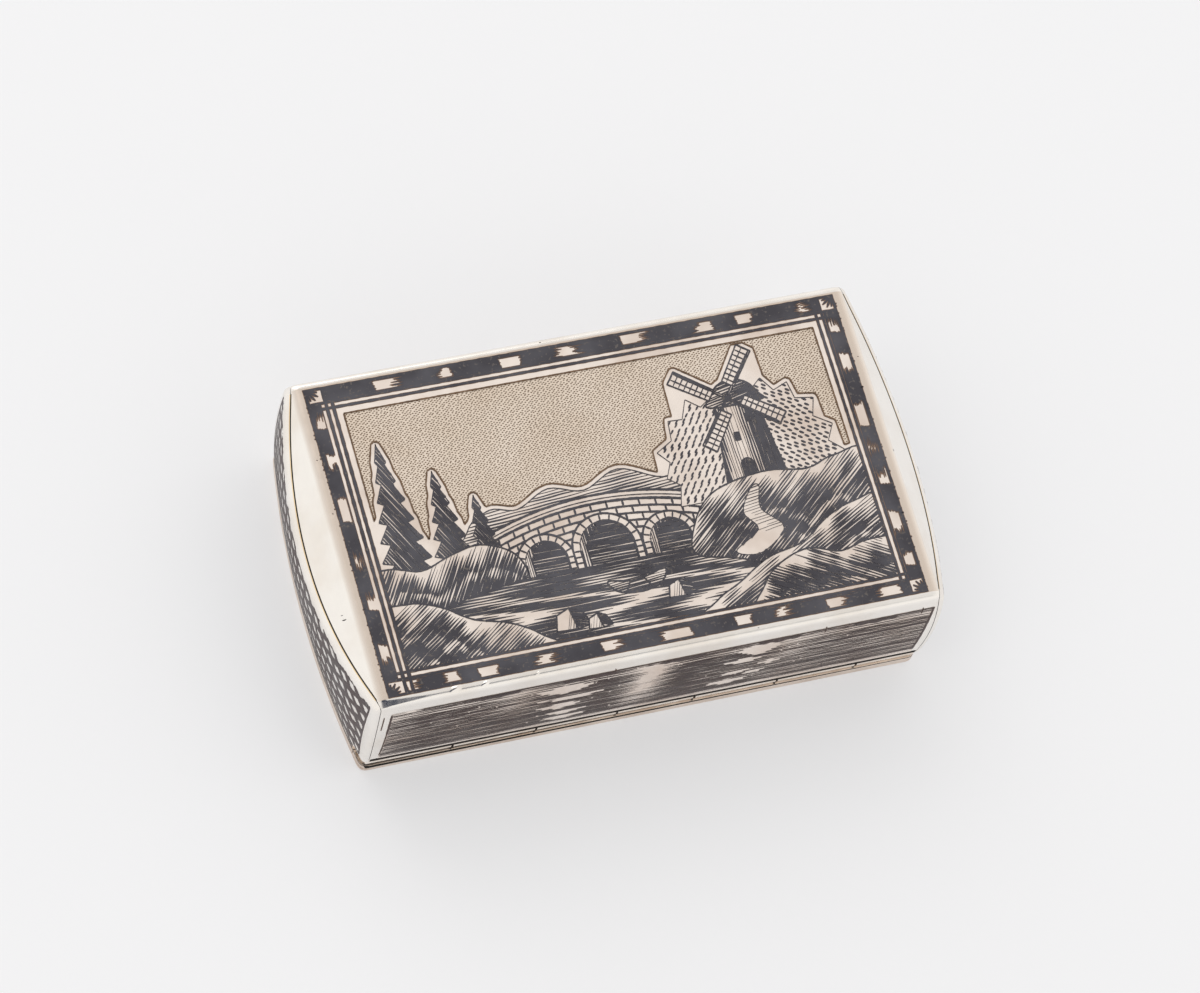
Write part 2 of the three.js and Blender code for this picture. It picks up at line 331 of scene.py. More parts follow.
def worn_silver(name, pale, warm, rough_low, rough_high, flat=None):
    """Old polished silver: warm tarnish in clouds, handling haze, fine scratches. flat is
    a painted shade: a tan laid on the flat picture face above the worn edges round it."""
    material, tree, shader = new_material(name)
    colour = blend_colours(tree, noise_mask(tree, 140, 0.42, 0.68), pale, warm)
    if flat:
        # Painted shade: the flat top face, within the long edges, turns to the tan colour flat.
        _, y, z = object_axes(tree)
        level = zone(tree, z, BOX_HEIGHT - 0.5, BOX_HEIGHT - 0.02)
        away = combine(tree, "COMPARE", y, SHIFT[1] * MM, 21.5 * MM)
        colour = blend_colours(tree, combine(tree, "MULTIPLY", level, away), colour, flat)
    haze = noise_mask(tree, 700, 0.35, 0.7)
    scratches = noise_mask(tree, 900, 0.3, 0.7, stretch=(0.12, 1, 1))
    feed(tree, shader, {"Base Color": colour, "Roughness": between(tree, haze, rough_low, rough_high),
                        "Metallic": 1.0, "Normal": bump(tree, scratches, 0.0014)})
    return material


def niello_material(name, dark, pale):
    """Black sulphide fused into the silver, smooth, paler where it is worn."""
    material, tree, shader = new_material(name)
    clouds = noise_mask(tree, 170, 0.38, 0.66)
    specks = noise_mask(tree, 2600, 0.63, 0.72, detail=1.0)
    colour = blend_colours(tree, specks, blend_colours(tree, clouds, dark, pale), (0.135, 0.118, 0.11))
    feed(tree, shader, {"Base Color": colour, "Roughness": between(tree, clouds, 0.34, 0.48),
                        "Specular IOR Level": 0.3, "Normal": bump(tree, clouds, 0.01)})
    return material


def tube_silver():
    """Polished tubes, black with painted shade on their outer side: above, where they run in
    under the wall, and below, where they meet the lid, widest at the left."""
    material, tree, shader = new_material("hinge_silver")
    x, y, z = object_axes(tree)
    above = combine(tree, "MINIMUM", zone(tree, z, 3.38, 3.44), zone(tree, z, 3.78, 3.72))
    rising = combine(tree, "MULTIPLY_ADD", x, 0.006, z)
    below = combine(tree, "MINIMUM", zone(tree, rising, 2.06, 2.00), zone(tree, z, 1.5, 1.6))
    outer = zone(tree, y, SHIFT[1] - 21.5, SHIFT[1] - 21.7)
    # Painted shade: near-black, dull and not metallic where the tubes meet the wall and the lid.
    painted_shade = combine(tree, "MINIMUM", combine(tree, "MAXIMUM", above, below), outer)
    bright = blend_colours(tree, noise_mask(tree, 500, 0.4, 0.7), (0.95, 0.88, 0.80), (0.80, 0.70, 0.60))
    feed(tree, shader, {"Base Color": blend_colours(tree, painted_shade, bright, (0.020, 0.016, 0.014)),
                        "Roughness": between(tree, painted_shade, 0.26, 0.8),
                        "Metallic": between(tree, painted_shade, 1.0, 0.0)})
    return material


def worn_gilt():
    """Gilding worn thin in clouds."""
    material, tree, shader = new_material("gilt")
    clouds = noise_mask(tree, 220, 0.4, 0.7)
    feed(tree, shader, {"Base Color": blend_colours(tree, clouds, (0.80, 0.60, 0.32), (0.62, 0.44, 0.22)),
                        "Roughness": between(tree, clouds, 0.28, 0.42),
                        "Metallic": 1.0, "Normal": bump(tree, clouds, 0.01)})
    return material


def matted_gilt():
    """The sky's ground: gilding struck all over with a fine punch in slanting rows."""
    material, tree, shader = new_material("matted_gilt")
    rows = {"Vector": object_place(tree), "Rotation": (0, 0, np.radians(38)), "Scale": (1.0, 1.7, 1.0)}
    mapping = add_node(tree, "Mapping", rows)
    settings = {"Vector": mapping.outputs["Vector"], "Scale": 2250, "Randomness": 0.36}
    punch = add_node(tree, "TexVoronoi", voronoi_dimensions="2D")
    feed(tree, punch, settings)
    pits = spread(tree, punch.outputs["Distance"], (0.18, 0.38))
    clouds = noise_mask(tree, 110, 0.3, 0.75)
    gilding = blend_colours(tree, clouds, (0.86, 0.75, 0.64), (0.74, 0.62, 0.50))
    feed(tree, shader, {"Base Color": blend_colours(tree, pits, (0.17, 0.105, 0.062), gilding),
                        "Roughness": between(tree, clouds, 0.38, 0.5),
                        "Metallic": 0.85, "Normal": bump(tree, pits, 0.03)})
    return material


def plain_material(name, colour, roughness, metallic=0.0, shine=0.5):
    """A dull filling whose colour wanders a little."""
    material, tree, shader = new_material(name)
    deep = tuple(c * 0.6 for c in colour)
    colour = blend_colours(tree, noise_mask(tree, 500, 0.35, 0.65), colour, deep)
    feed(tree, shader, {"Base Color": colour, "Roughness": roughness, "Metallic": metallic,
                        "Specular IOR Level": shine})
    return material


silver = worn_silver("worn_silver", (0.92, 0.875, 0.82), (0.84, 0.77, 0.70), 0.20, 0.34)
# The case's silver, with a tan painted shade on its flat picture face.
case_silver = worn_silver("case_silver", (0.93, 0.89, 0.84), (0.86, 0.80, 0.73), 0.15, 0.23,
                          flat=(0.74, 0.635, 0.545))
tarnished = worn_silver("tarnished_silver", (0.93, 0.835, 0.76), (0.76, 0.64, 0.555), 0.28, 0.42)
lid_silver = worn_silver("lid_silver", (0.80, 0.695, 0.61), (0.66, 0.545, 0.46), 0.26, 0.4)
hinge_silver = tube_silver()
niello = niello_material("blue_niello", (0.056, 0.052, 0.062), (0.098, 0.095, 0.110))
brown_niello = niello_material("brown_niello", (0.046, 0.023, 0.022), (0.080, 0.050, 0.048))
gilt = worn_gilt()
sky_gilt = matted_gilt()
incised = plain_material("incised_line", (0.20, 0.115, 0.06), 0.6)
brown = plain_material("brown_tarnish", (0.34, 0.21, 0.135), 0.5, metallic=0.6)
pale_gilt = worn_silver("solder_gilt", (0.93, 0.74, 0.47), (0.80, 0.60, 0.36), 0.25, 0.4)
# A dark filling for seams, joints and pits, and the colour of the painted shade along the wall's foot and in
# the parting between case and lid.
crevice = plain_material("dark_crevice", (0.022, 0.016, 0.013), 0.8, shine=0.15)


# Silver pieces

def worn_corner(x, y):
    """How deep the front left corner is rubbed down. A plane of slope 0.52 cuts the
    rounded front edge; it starts nearest the border at the crease and runs out along
    the edge as start = -21.48 - 0.64 (run / 18) ** 0.55."""
    run = unit((x + 36.0) / 18)
    near = np.clip(-21.6 - y, 0, EDGE_RADIUS)
    rounding = EDGE_RADIUS - np.sqrt(EDGE_RADIUS ** 2 - near ** 2)
    plane = 0.52 * (-21.48 - 0.64 * run ** 0.55 - y)
    return np.clip(plane - rounding, 0, None) * (y > -22.45) * unit((37.6 + x) / 0.8)


def channel(inset):
    """The bent sheet's surface. Rows go up the front wall, round its top edge, across,
    and down the back; each has a rise up the wall, a turn round the edge and a share of
    the width. Past the crease they follow the roof down. Columns run seam to seam."""
    radius = max(EDGE_RADIUS - inset, 0.01)
    up = np.linspace(0, 1, 14)
    bend = np.radians(np.linspace(0, 90, 19)[1:])
    near = np.array([0.968, 0.976, 0.984, 0.992])
    across = np.concatenate([-near[::-1], np.linspace(-0.95, 0.95, 33), near])
    half = np.ones(len(up) + len(bend))
    rise = np.concatenate([up, np.ones(2 * len(bend) + len(across)), up[::-1]])[:, None]
    turn = np.concatenate([0 * up, bend, 0 * across + np.pi / 2, bend[::-1], 0 * up])[:, None]
    share = np.concatenate([-half, across, half])[:, None]
    foot = np.where(share < 0, FRONT_FOOT, CASE_FOOT)

    def at(reach):
        top = roof(reach, inset)
        z = foot + rise * (top - radius - foot) + radius * np.sin(turn)
        return share * (wall_y(z) - inset - radius * (1 - np.cos(turn))), z

    crease = CREASE - 1.2
    fraction = np.concatenate([np.linspace(0, 0.42, 12), np.linspace(0.42, 1, 9)[1:]])[None, :]
    halves = []
    for side in (-1, 1):
        end = np.full_like(rise, CREASE)
        for _ in range(20):
            y, z = at(end)
            end = side * end_x(y, z, side, END_SHEET)
        halves.append(side * (crease + fraction * (end - crease)))
    flat = np.linspace(-crease, crease, 71)[None, 1:-1] * np.ones_like(rise)
    x = np.concatenate([halves[0][:, ::-1], flat, halves[1]], 1)
    y, z = at(np.abs(x))
    return np.stack([x, y, z - worn_corner(x, y)], -1)


CORNER_STEPS = np.linspace(0, 1, 8)
BOW_STEPS = np.linspace(-1, 1, 51)[1:-1]


def end_outline(z, side, inset):
    """Points round an end, one height for each point: from the seam round the corner,
    along the bow, round the other corner and back to the seam. Works on rows of them."""
    half_width, half_length, bulge, lean = case_form(z)
    y_run = half_width - CORNER
    x_run = half_length + bulge * (1 - (y_run / half_width) ** 2)
    knee = x_run - 2 * bulge * y_run * CORNER / half_width ** 2
    t = np.concatenate([CORNER_STEPS, np.ones(len(BOW_STEPS)), CORNER_STEPS[::-1]])
    share = np.concatenate([0 * CORNER_STEPS - 1, BOW_STEPS, 0 * CORNER_STEPS + 1])
    on_bow = np.abs(share) < 1
    y = np.where(on_bow, share * y_run, np.sign(share) * (half_width - CORNER * t ** 2))
    bow = half_length + bulge * (1 - (y / half_width) ** 2)
    x = np.where(on_bow, bow, curve(knee - CORNER, knee, x_run, t))
    ends = np.arange(len(t)) % (len(t) - 1) == 0
    return side * np.where(ends, half_length - inset, x) + lean, y


def end_plate_grids(side):
    """Outer and inner surface of an end plate. Each column goes up the bowed end to the
    arris, round its wear and over the shoulder to the seam."""
    inset = END_SHEET - SEAM_GAP
    guess = np.full(len(BOW_STEPS) + 2 * len(CORNER_STEPS), 18.0)
    x, y, z = meet_roof(lambda height: end_outline(height, side, inset), guess)
    within_x, _, within_z = meet_roof(lambda height: (end_x(y, height, side, inset), y), z)
    foot = np.where(y < HINGE_SEAT_BACK, FRONT_FOOT, CASE_FOOT)
    run = np.minimum(ARRIS_WEAR, 0.9 * np.abs(x - within_x))
    wall_z = foot + np.linspace(0, 1, 16)[:, None] * (z - run - foot)
    wall = np.stack([*end_outline(wall_z, side, inset), wall_z], -1)
    peak = np.stack([x, y, z], -1)
    seam = np.stack([within_x, y, within_z], -1)
    away = np.linalg.norm(seam - peak, axis=1, keepdims=True) + 1e-9
    stop = peak + (seam - peak) * np.minimum(run[:, None] / away, 1) * 1.2
    worn = curve(wall[-1], peak, stop, np.linspace(0, 1, 7)[1:, None, None])
    outer = np.concatenate([wall, worn, stop[None] + (seam - stop)[None] * 0.5, seam[None]])
    inner_z = foot + np.linspace(0, 1, len(outer))[:, None] * (within_z - foot)
    inner_y = y * np.ones_like(inner_z)
    inner = np.stack([end_x(inner_y, inner_z, side, inset), inner_y, inner_z], -1)
    return outer, inner


def lid_outline(inset):
    """The lid seen from above: the case's foot outline with rounder corners."""
    half_width, half_length, bow, lean = [float(v) for v in case_form(np.array(CASE_FOOT))]
    side = half_width - inset
    y = side - LID_CORNER
    run = np.linspace(-y, y, 41)
    x = half_length + bow * (1 - (run / half_width) ** 2) - inset
    knee = x[0] - 2 * bow * y * LID_CORNER / half_width ** 2
    start, turn, stop = np.array([(knee - LID_CORNER, -side), (knee, -side), (x[0], -y)])
    first = curve(start, turn, stop, np.linspace(0, 1, 9)[:, None])
    half = np.concatenate([first, np.stack([x, run], -1)[1:-1], first[::-1] * (1, -1)])
    return np.concatenate([half, -half]) + (lean, 0)


def lid_plate():
    """The lid's plate: outlines stacked up its rounded lower edge, closed above and
    below by one flat face each."""
    turn = np.radians(np.linspace(0, 90, 9))
    insets = [*LID_EDGE * (1 - np.sin(turn)), 0.0]
    heights = [*LID_EDGE * (1 - np.cos(turn)), LID_SHEET]
    rings = np.stack([lid_outline(inset) for inset in insets])
    rows, columns = rings.shape[:2]
    points = np.column_stack([rings.reshape(-1, 2), np.repeat(heights, columns)])
    faces = grid_faces(rows, columns + 1)
    step = faces % (columns + 1)
    faces = faces // (columns + 1) * columns + step % columns
    caps = [list(range(columns))[::-1], list(range((rows - 1) * columns, rows * columns))]
    mesh = new_mesh("lid_plate_worn", points, faces.tolist() + caps)
    shade(mesh)
    piece = new_object("lid_plate_worn", mesh)
    return finish_piece(piece, lid_silver, "lid", "silver_niello", ("lid_plate",))


make_piece("case_sheet_worn", *shell(channel(0), channel(SHEET)), case_silver, "case", "silver_niello",
           ("case_sheet",), sharp=BENT_CRISP)
for side, hand in ((-1, "left"), (1, "right")):
    surfaces = [grid[:, ::side] for grid in end_plate_grids(side)]
    make_piece(f"end_plate_{hand}_worn", *shell(*surfaces), case_silver, "case", "silver_niello",
               (f"end_plate_{hand}",), sharp=BENT_CRISP)
lid_plate()

for node in ("lid_rim_left", "lid_rim_right", "lid_rim_back", "lid_hinge_bearer"):
    dress(node, lid_silver, "lid", "silver")
dress("thumb_piece", silver, "lid", "silver", wear=0)
for number in range(1, 8):
    body = "case" if number % 2 else "lid"
    dress(f"{body}_knuckle_{number}", hinge_silver, body, "silver", wear=0.03)
for node in ("bezel_left", "bezel_right", "bezel_back", "case_hinge_bearer"):
    dress(node, gilt, "case", "gilt", wear=0.04)
for node in ("hinge_pin", "pin_plug_left", "pin_plug_right"):
    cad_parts[node].data.materials.clear()
    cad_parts[node].data.materials.append(silver)


# The burin

def chance(number):
    """A number between 0 and 1 that follows no order but is the same in every run."""
    return np.modf(np.abs(np.sin(number * 12.9898) * 43758.5453))[0]


def scatter(count, seed=0.0):
    return chance(np.arange(count) + 1 + seed)


def inside(outline, u, v):
    """Whether points lie in a closed outline, by counting its edges to their right."""
    found = np.zeros(np.shape(u), bool)
    for (u0, v0), (u1, v1) in zip(outline, np.roll(outline, -1, 0)):
        if v0 == v1:
            continue
        crosses = (v0 > v) != (v1 > v)
        found ^= crosses & (u < u0 + (v - v0) * (u1 - u0) / (v1 - v0))
    return found


def bands(centre_u, centre_v, half, along):
    """Bands round lines of points: each point gives two, half a width to either side of
    the line's direction. A third number says on which thin level a line lies, so that
    no two lines that touch share one. Faces are left out where a band has no width."""
    across = np.stack([-along[..., 1], along[..., 0]], -1)
    centre = np.stack([centre_u, centre_v], -1)
    points = np.stack([centre - half[..., None] * across, centre + half[..., None] * across], -2)
    lines, count = half.shape
    level = np.broadcast_to((np.arange(lines) % 2)[:, None, None, None], (lines, count, 2, 1))
    points = np.concatenate([points, level], -1)
    first = (np.arange(lines)[:, None] * count + np.arange(count - 1)[None, :]) * 2
    faces = np.stack([first, first + 2, first + 3, first + 1], -1)
    open_ = (half[:, :-1] + half[:, 1:]) > 1e-3
    return points.reshape(-1, 3), faces[open_]


def hatch(tone, low, high, angle, pitch, step, feather=0.25, seed=0.0, sway=0.03, wander=0.3):
    """Parallel strokes at an angle, a pitch apart, over a field from low to high. Each
    is as wide as the pitch times the tone at its middle, so it swells, thins and ends
    with the tone; feather lets neighbours begin and end out of step."""
    turn = np.radians(angle)
    along = np.array([np.cos(turn), np.sin(turn)])
    across = np.array([-along[1], along[0]])
    corners = np.array([[low[0], low[1]], [high[0], low[1]], [high[0], high[1]], [low[0], high[1]]])
    p = np.arange((corners @ along).min(), (corners @ along).max() + step, step)
    q = np.arange((corners @ across).min(), (corners @ across).max() + pitch, pitch)
    pp, qq = np.meshgrid(p, q)
    jitter, drift = scatter(len(q), seed)[:, None], scatter(len(q), seed + 0.5)[:, None]
    qq = qq + sway * np.sin(pp * (0.5 + jitter) + 6 * jitter) + wander * pitch * (drift - 0.5)
    u = pp * along[0] + qq * across[0]
    v = pp * along[1] + qq * across[1]
    deep = unit(tone(u, v))
    deep = deep + feather * (jitter - 0.5) * 4 * deep * (1 - deep)
    half = np.where(deep > 0.1, unit(deep) * pitch * 0.515, 0)
    return bands(u, v, half, np.broadcast_to(along, (*u.shape, 2)))


def stroke(path, width, hidden=None, taper=True, step=0.12):
    """One cut along a path, as wide as width in its middle and pointed at its ends."""
    path = np.asarray(path, float)
    lengths = np.concatenate([[0], np.cumsum(np.hypot(*np.diff(path, axis=0).T))])
    at = np.linspace(0, lengths[-1], max(3, int(lengths[-1] / step)))
    u = np.interp(at, lengths, path[:, 0])
    v = np.interp(at, lengths, path[:, 1])
    along = np.stack([np.gradient(u), np.gradient(v)], -1)
    along /= np.maximum(np.hypot(*along.T)[:, None], 1e-9)
    half = width / 2 * (1 + 0.10 * np.sin(at * 2.9 + 7 * u[0]) + 0.08 * np.sin(at * 7.7 + 5 * v[0]))
    if taper:
        ends = np.minimum(at, lengths[-1] - at) / max(min(lengths[-1] / 3, 0.8), 1e-6)
        half *= np.clip(ends, 0.15, 1) ** 0.5
    if hidden is not None:
        half[hidden(u, v)] = 0
    return bands(u[None], v[None], half[None], along[None])


def widened(part, more):
    """The same bands with each side moved out by more, for the brown round the black."""
    points, faces = part
    pairs = points.reshape(-1, 2, 3)
    away = pairs[:, 1] - pairs[:, 0]
    away *= more / np.maximum(np.linalg.norm(away, axis=1), 1e-9)[:, None]
    return np.stack([pairs[:, 0] - away, pairs[:, 1] + away], 1).reshape(-1, 3), faces


def gather(parts, raised=2, base=0):
    """Several lots of points and faces as one, each lot on levels of its own from base."""
    parts = [part for part in parts if len(part[1])]
    starts = np.cumsum([0] + [len(points) for points, _ in parts[:-1]])
    points = [points + (0, 0, base + raised * (number % 10)) for number, (points, _) in enumerate(parts)]
    faces = [faces + start for (_, faces), start in zip(parts, starts)]
    return np.concatenate(points), np.concatenate(faces)


# Fields

def laid(flat, proud):
    """Two places on a surface, and how proud of it the point lies with its level."""
    level = flat[:, 2] if flat.shape[1] > 2 else 0
    return flat[:, 0], flat[:, 1], proud + LEVEL * level + 0 * flat[:, 0]


def on_face(flat, proud):
    x, y, proud = laid(flat, proud)
    return np.column_stack([x, y, BOX_HEIGHT + proud])


def on_wall(side):
    """Lays points at (x, z) on a long wall."""
    def place(flat, proud):
        x, z, proud = laid(flat, proud)
        return np.column_stack([x, side * (wall_y(z) + proud), z])
    return place


def on_end(side):
    """Lays points at (y, z) on a bowed end."""
    def place(flat, proud):
        y, z, proud = laid(flat, proud)
        return np.column_stack([end_x(y, z, side, -proud), y, z])
    return place


def on_lid(flat, proud):
    x, y, proud = laid(flat, proud)
    return np.column_stack([x, y, -proud])


# How many times PROUD an inlay stands over the silver, where that isn't once. Where two
# overlap, the upper one stands higher.
RAISED = {"picture_ground": 0.4, "front_ground": 0.4, "back_ground": 0.4, "front_wall_fringe": 0.7,
          "border_fringe": 1.2, "front_wall_niello": 2, "back_wall_niello": 2,
          "border_niello": 2.2, "picture_niello": 3.3, "sky_incised_line": 4.8}


def inlay(name, lot, place, material, body="case", turned=False):
    """A lot of flat cuts, laid on the silver by one of the places above."""
    flat, faces = lot
    faces = faces[:, ::-1] if turned else faces
    points = place(flat, RAISED.get(name, 1) * PROUD)
    return make_piece(name, points, faces, material, body, "silver_niello")


# The border. Each dash has its middle and its length along the ribbon.

BORDER = {"left": -35.5, "right": 35.35, "bottom": -21.4, "top": 21.2}
TOP_DASHES = ((-24.8, 3.6), (-17.2, 2.2), (-8.5, 3.0), (-0.8, 3.4), (8.0, 3.6), (17.4, 2.6),
              (22.9, 2.4), (31.0, 2.2))
BOTTOM_DASHES = ((-32.0, 2.0), (-27.2, 2.4), (-22.4, 2.8), (-14.8, 3.0), (-6.3, 2.9), (2.0, 4.4),
                 (11.0, 2.4), (16.3, 2.6), (23.6, 3.4), (30.4, 3.4))
LEFT_DASHES = ((16.4, 2.0), (10.9, 2.3), (4.2, 3.6), (-3.0, 2.0), (-8.6, 2.4), (-15.6, 2.6))
RIGHT_DASHES = ((16.8, 2.0), (11.5, 3.0), (4.0, 3.6), (-0.6, 2.0), (-5.0, 2.2), (-11.3, 3.2), (-16.6, 2.0))
TEETH = 82


def rules(left, right, bottom, top):
    """The outer line and the two inner rules on each side: the level ones, then the
    upright ones, which cross them at the corners."""
    level = [(top - 0.17, 0.34), (bottom + 0.15, 0.3)]
    standing = [(left + 0.22, 0.44), (right - 0.17, 0.34)]
    for inward in (2.2, 3.02):
        level += [(top - inward, 0.36), (bottom + inward - 0.1, 0.34)]
        standing += [(left + inward + 0.25, 0.4), (right - inward + 0.02, 0.34)]
    return ([stroke([(left, y), (right, y)], width, taper=False, step=0.5) for y, width in level],
            [stroke([(x, bottom), (x, top)], width, taper=False, step=0.5) for x, width in standing])


def corner_rays(left, right, bottom, top):
    """Wedges that fan from each outer corner across its square."""
    parts = []
    for x, sx in ((left + 0.3, 1), (right - 0.25, -1)):
        for y, sy in ((bottom + 0.25, 1), (top - 0.25, -1)):
            for degrees, long in ((14, 1.5), (34, 1.75), (56, 1.75), (76, 1.5)):
                turn = np.radians(degrees)
                tip = (x + sx * long * np.cos(turn), y + sy * long * np.sin(turn))
                parts.append(stroke([(x, y), tip], 0.3, step=0.1))
    return parts


def edge_teeth(left, right, bottom):
    """Short uneven cuts out of the border's two ends."""
    parts = []
    for x, way in ((left, -1), (right, 1)):
        heights = bottom + 0.6 + 0.5 * (np.arange(TEETH) + scatter(TEETH, x))
        for y, luck in zip(heights, scatter(TEETH, x + 0.5)):
            tip = (x + way * (0.03 + 0.17 * luck ** 2), y + 0.03)
            parts.append(stroke([(x - way * 0.3, y), tip], 0.15, step=0.1))
    return parts


def ribbon(start, stop, edge0, edge1, dashes, seed):
    """A dark ribbon from start to stop with bright dashes, cut with strokes along it.
    A dash is sharp at its start and combed out into the dark at its end."""
    rows = 15

    def tone(u, v):
        dark = np.ones_like(u)
        row = (v - edge0) / (edge1 - edge0)
        for number, (middle, long) in enumerate(dashes):
            lean = (0.5 - row) * 0.5 * (1 if number % 2 else -0.6)
            line = np.floor(row * rows) + 31 * number + 7 * seed
            starts, ends = ((0.15, 1.5), (0.9, 0.3), (0.15, 0.4), (1.1, 1.5))[number % 4]
            begin = u - (middle - long / 2) + lean + starts * (chance(line) - 0.5)
            finish = (middle + long / 2) - u + lean + ends * (chance(line + 0.5) - 0.5)
            bright = unit(begin / (0.15 + 0.4 * starts)) * unit(finish / (0.15 + 0.4 * ends))
            thin = unit((0.5 - np.abs(row - 0.5 - 0.06 * np.sin(number * 2.1))) / 0.12)
            dark = np.minimum(dark, 1 - bright * thin)
        return dark * (edge0 <= v) * (v <= edge1)
    return hatch(tone, (start, edge0), (stop, edge1), 0, (edge1 - edge0) / rows, 0.1, 0.2, seed, 0.0, 0.0)


def upright(part):
    """Swaps the two directions of a flat part."""
    points, faces = part
    return points[:, [1, 0, 2]], faces[:, ::-1]


def border(left, right, bottom, top):
    """Four dashed ribbons between rules that cross, with rays in the corner squares."""
    ends = (left + 2.2, right - 2.2)
    heights = (bottom + 2.1, top - 2.2)
    level_rules, upright_rules = rules(left, right, bottom, top)
    ribbons = [
        ribbon(*ends, top - 1.95, top - 0.34, TOP_DASHES, 1),
        ribbon(*ends, bottom + 0.3, bottom + 1.85, BOTTOM_DASHES, 2),
        upright(ribbon(*heights, left + 0.44, left + 1.85, LEFT_DASHES, 3)),
        upright(ribbon(*heights, right - 1.9, right - 0.34, RIGHT_DASHES, 4)),
    ]
    return gather([gather(ribbons, 0), gather(level_rules, 0, 2), gather(upright_rules, 0, 3),
                   gather(corner_rays(left, right, bottom, top), 1, 4),
                   gather(edge_teeth(left, right, bottom), 0, 14)], 0)


# The landscape, in millimetres from the lower left corner of the picture's field.

PICTURE_LEFT, PICTURE_BOTTOM = -32.08, -18.35
PICTURE_WIDE, PICTURE_HIGH = 64.3, 36.2
SKY_MARGIN = 0.62
WATER_LEVEL = 9.2
BRIDGE_SPAN = (14.5, 43.5)
BRIDGE_FOOT = 8.8
COPING, COURSE, BLOCK = 1.15, 0.98, 2.1
# Each arch has its middle, its radius and the height of its spring over the water.
ARCHES = ((20.8, 2.7, 1.5), (28.9, 3.5, 2.0), (37.2, 2.7, 1.5))
MILL, MILL_FOOT, MILL_TOP = 50.4, 15.4, 27.2
MILL_HALF, MILL_TAPER = 4.1, 0.114
HUB = np.array([49.6, 28.0])
SAIL_START, SAIL_STOP = 1.9, 7.6


def ramp(start, stop, first, last):
    """Tone that runs from first at start to last at stop."""
    (u0, v0), (u1, v1) = start, stop
    square = (u1 - u0) ** 2 + (v1 - v0) ** 2

    def tone(u, v):
        t = ((u - u0) * (u1 - u0) + (v - v0) * (v1 - v0)) / square
        return first + (last - first) * unit(t)
    return tone


def even(value):
    return lambda u, v: np.full_like(u, value)


def upper_edge(outline, u):
    """Greatest height of an outline over each u, or minus infinity beside it."""
    high = np.full(np.shape(u), -np.inf)
    for (u0, v0), (u1, v1) in zip(outline, np.roll(outline, -1, 0)):
        if u0 == u1:
            continue
        t = (u - u0) / (u1 - u0)
        high = np.where((t >= 0) & (t <= 1), np.maximum(high, v0 + t * (v1 - v0)), high)
    return high


def crest(outline, deep, bumps=0.0, bright=0.0, dark=1.0):
    """Tone of a rounded bank: bright along its crest and darker with depth below it."""
    def tone(u, v):
        down = upper_edge(outline, u) - v
        down = np.where(np.isfinite(down), down, 0)
        wave = bumps * (np.sin(u * 0.9 + v * 0.5) + 0.6 * np.sin(u * 2.3 - v))
        tone = bright + (dark - bright) * unit((down + wave) / deep) ** 0.8
        fold = np.sin((down + 0.8 * wave - deep) * 1.7 + 0.9 * np.sin(u * 0.55))
        return tone - 0.42 * unit(fold) * (down > deep)
    return tone


def smooth_outline(points, count=6):
    """A closed outline rounded through its points by a Catmull-Rom curve."""
    p0, p1, p2, p3 = [np.roll(np.asarray(points, float), back, 0)[:, None] for back in (1, 0, -1, -2)]
    t = (np.arange(count) / count)[None, :, None]
    bend = 0.5 * (2 * p1 + (p2 - p0) * t + (2 * p0 - 5 * p1 + 4 * p2 - p3) * t ** 2
                  + (3 * p1 - p0 - 3 * p2 + p3) * t ** 3)
    return bend.reshape(-1, 2)


def shape(outline, tone=None, angle=0.0, pitch=0.36, edge=0.16, cuts=(), feather=0.25, sky=False):
    """One shape of the picture: hatched by its tone, edged, with cuts of its own. sky
    says whether it rises into the sky."""
    return {"outline": np.asarray(outline, float), "tone": tone, "angle": angle, "pitch": pitch,
            "edge": edge, "cuts": cuts, "feather": feather, "sky": sky}


def bank(points, deep, angle, bumps, pitch=0.36, sky=False):
    outline = smooth_outline(points)
    return shape(outline, crest(outline, deep, bumps), angle, pitch, 0.2, feather=0.6, sky=sky)


def fir(middle, foot, top, half, tiers):
    """A fir as tiers of drooping boughs, darker on its right."""
    levels = np.linspace(foot, top, tiers + 1)
    left, right = [], []
    for number in range(tiers):
        low, high = levels[number:number + 2]
        bough = half * (1 - number / tiers) ** 0.85
        inner = half * (1 - (number + 1) / tiers) ** 0.85 * 0.55
        left += [(middle - bough, low + 0.25), (middle - inner, high - 0.2)]
        right += [(middle + bough * 0.95, low), (middle + inner, high - 0.3)]
    tone = ramp((middle - half, foot), (middle + half * 0.5, foot), 0.45, 1.0)
    return shape(left + [(middle, top)] + right[::-1], tone, -62, 0.34, 0.14, sky=True, feather=0.5)


def leafy(outline, angle):
    """A bush or a tree's crown, all short cuts in staggered rows."""
    outline = np.asarray(outline, float)
    low, high = outline.min(0), outline.max(0)
    turn = np.radians(angle)
    step = np.array([np.cos(turn), np.sin(turn)]) * 0.34
    cuts = []
    for row, v in enumerate(np.arange(low[1] + 0.4, high[1], 0.62)):
        for u in np.arange(low[0] + 0.45 * (row % 2), high[0], 0.95):
            wander = 0.18 * np.sin(7 * u + 11 * v)
            centre = np.array([u + wander, v + wander * 0.5])
            if inside(outline, centre[:1], centre[1:])[0]:
                cuts.append(([centre - step, centre + step], 0.26))
    return shape(outline, edge=0.1, cuts=cuts, sky=True)


def arc(u, v, radius, first, last, count=25):
    turn = np.radians(np.linspace(first, last, count))
    return np.stack([u + radius * np.cos(turn), v + radius * np.sin(turn)], -1)


def rays(first, step, count):
    """Directions a step of degrees apart."""
    turns = np.radians(first + step * np.arange(count))
    return np.stack([np.cos(turns), np.sin(turns)], -1)


def deck(u):
    """Top of the bridge's parapet, a low hump."""
    return 18.3 - 0.0125 * (np.asarray(u) - 29.0) ** 2


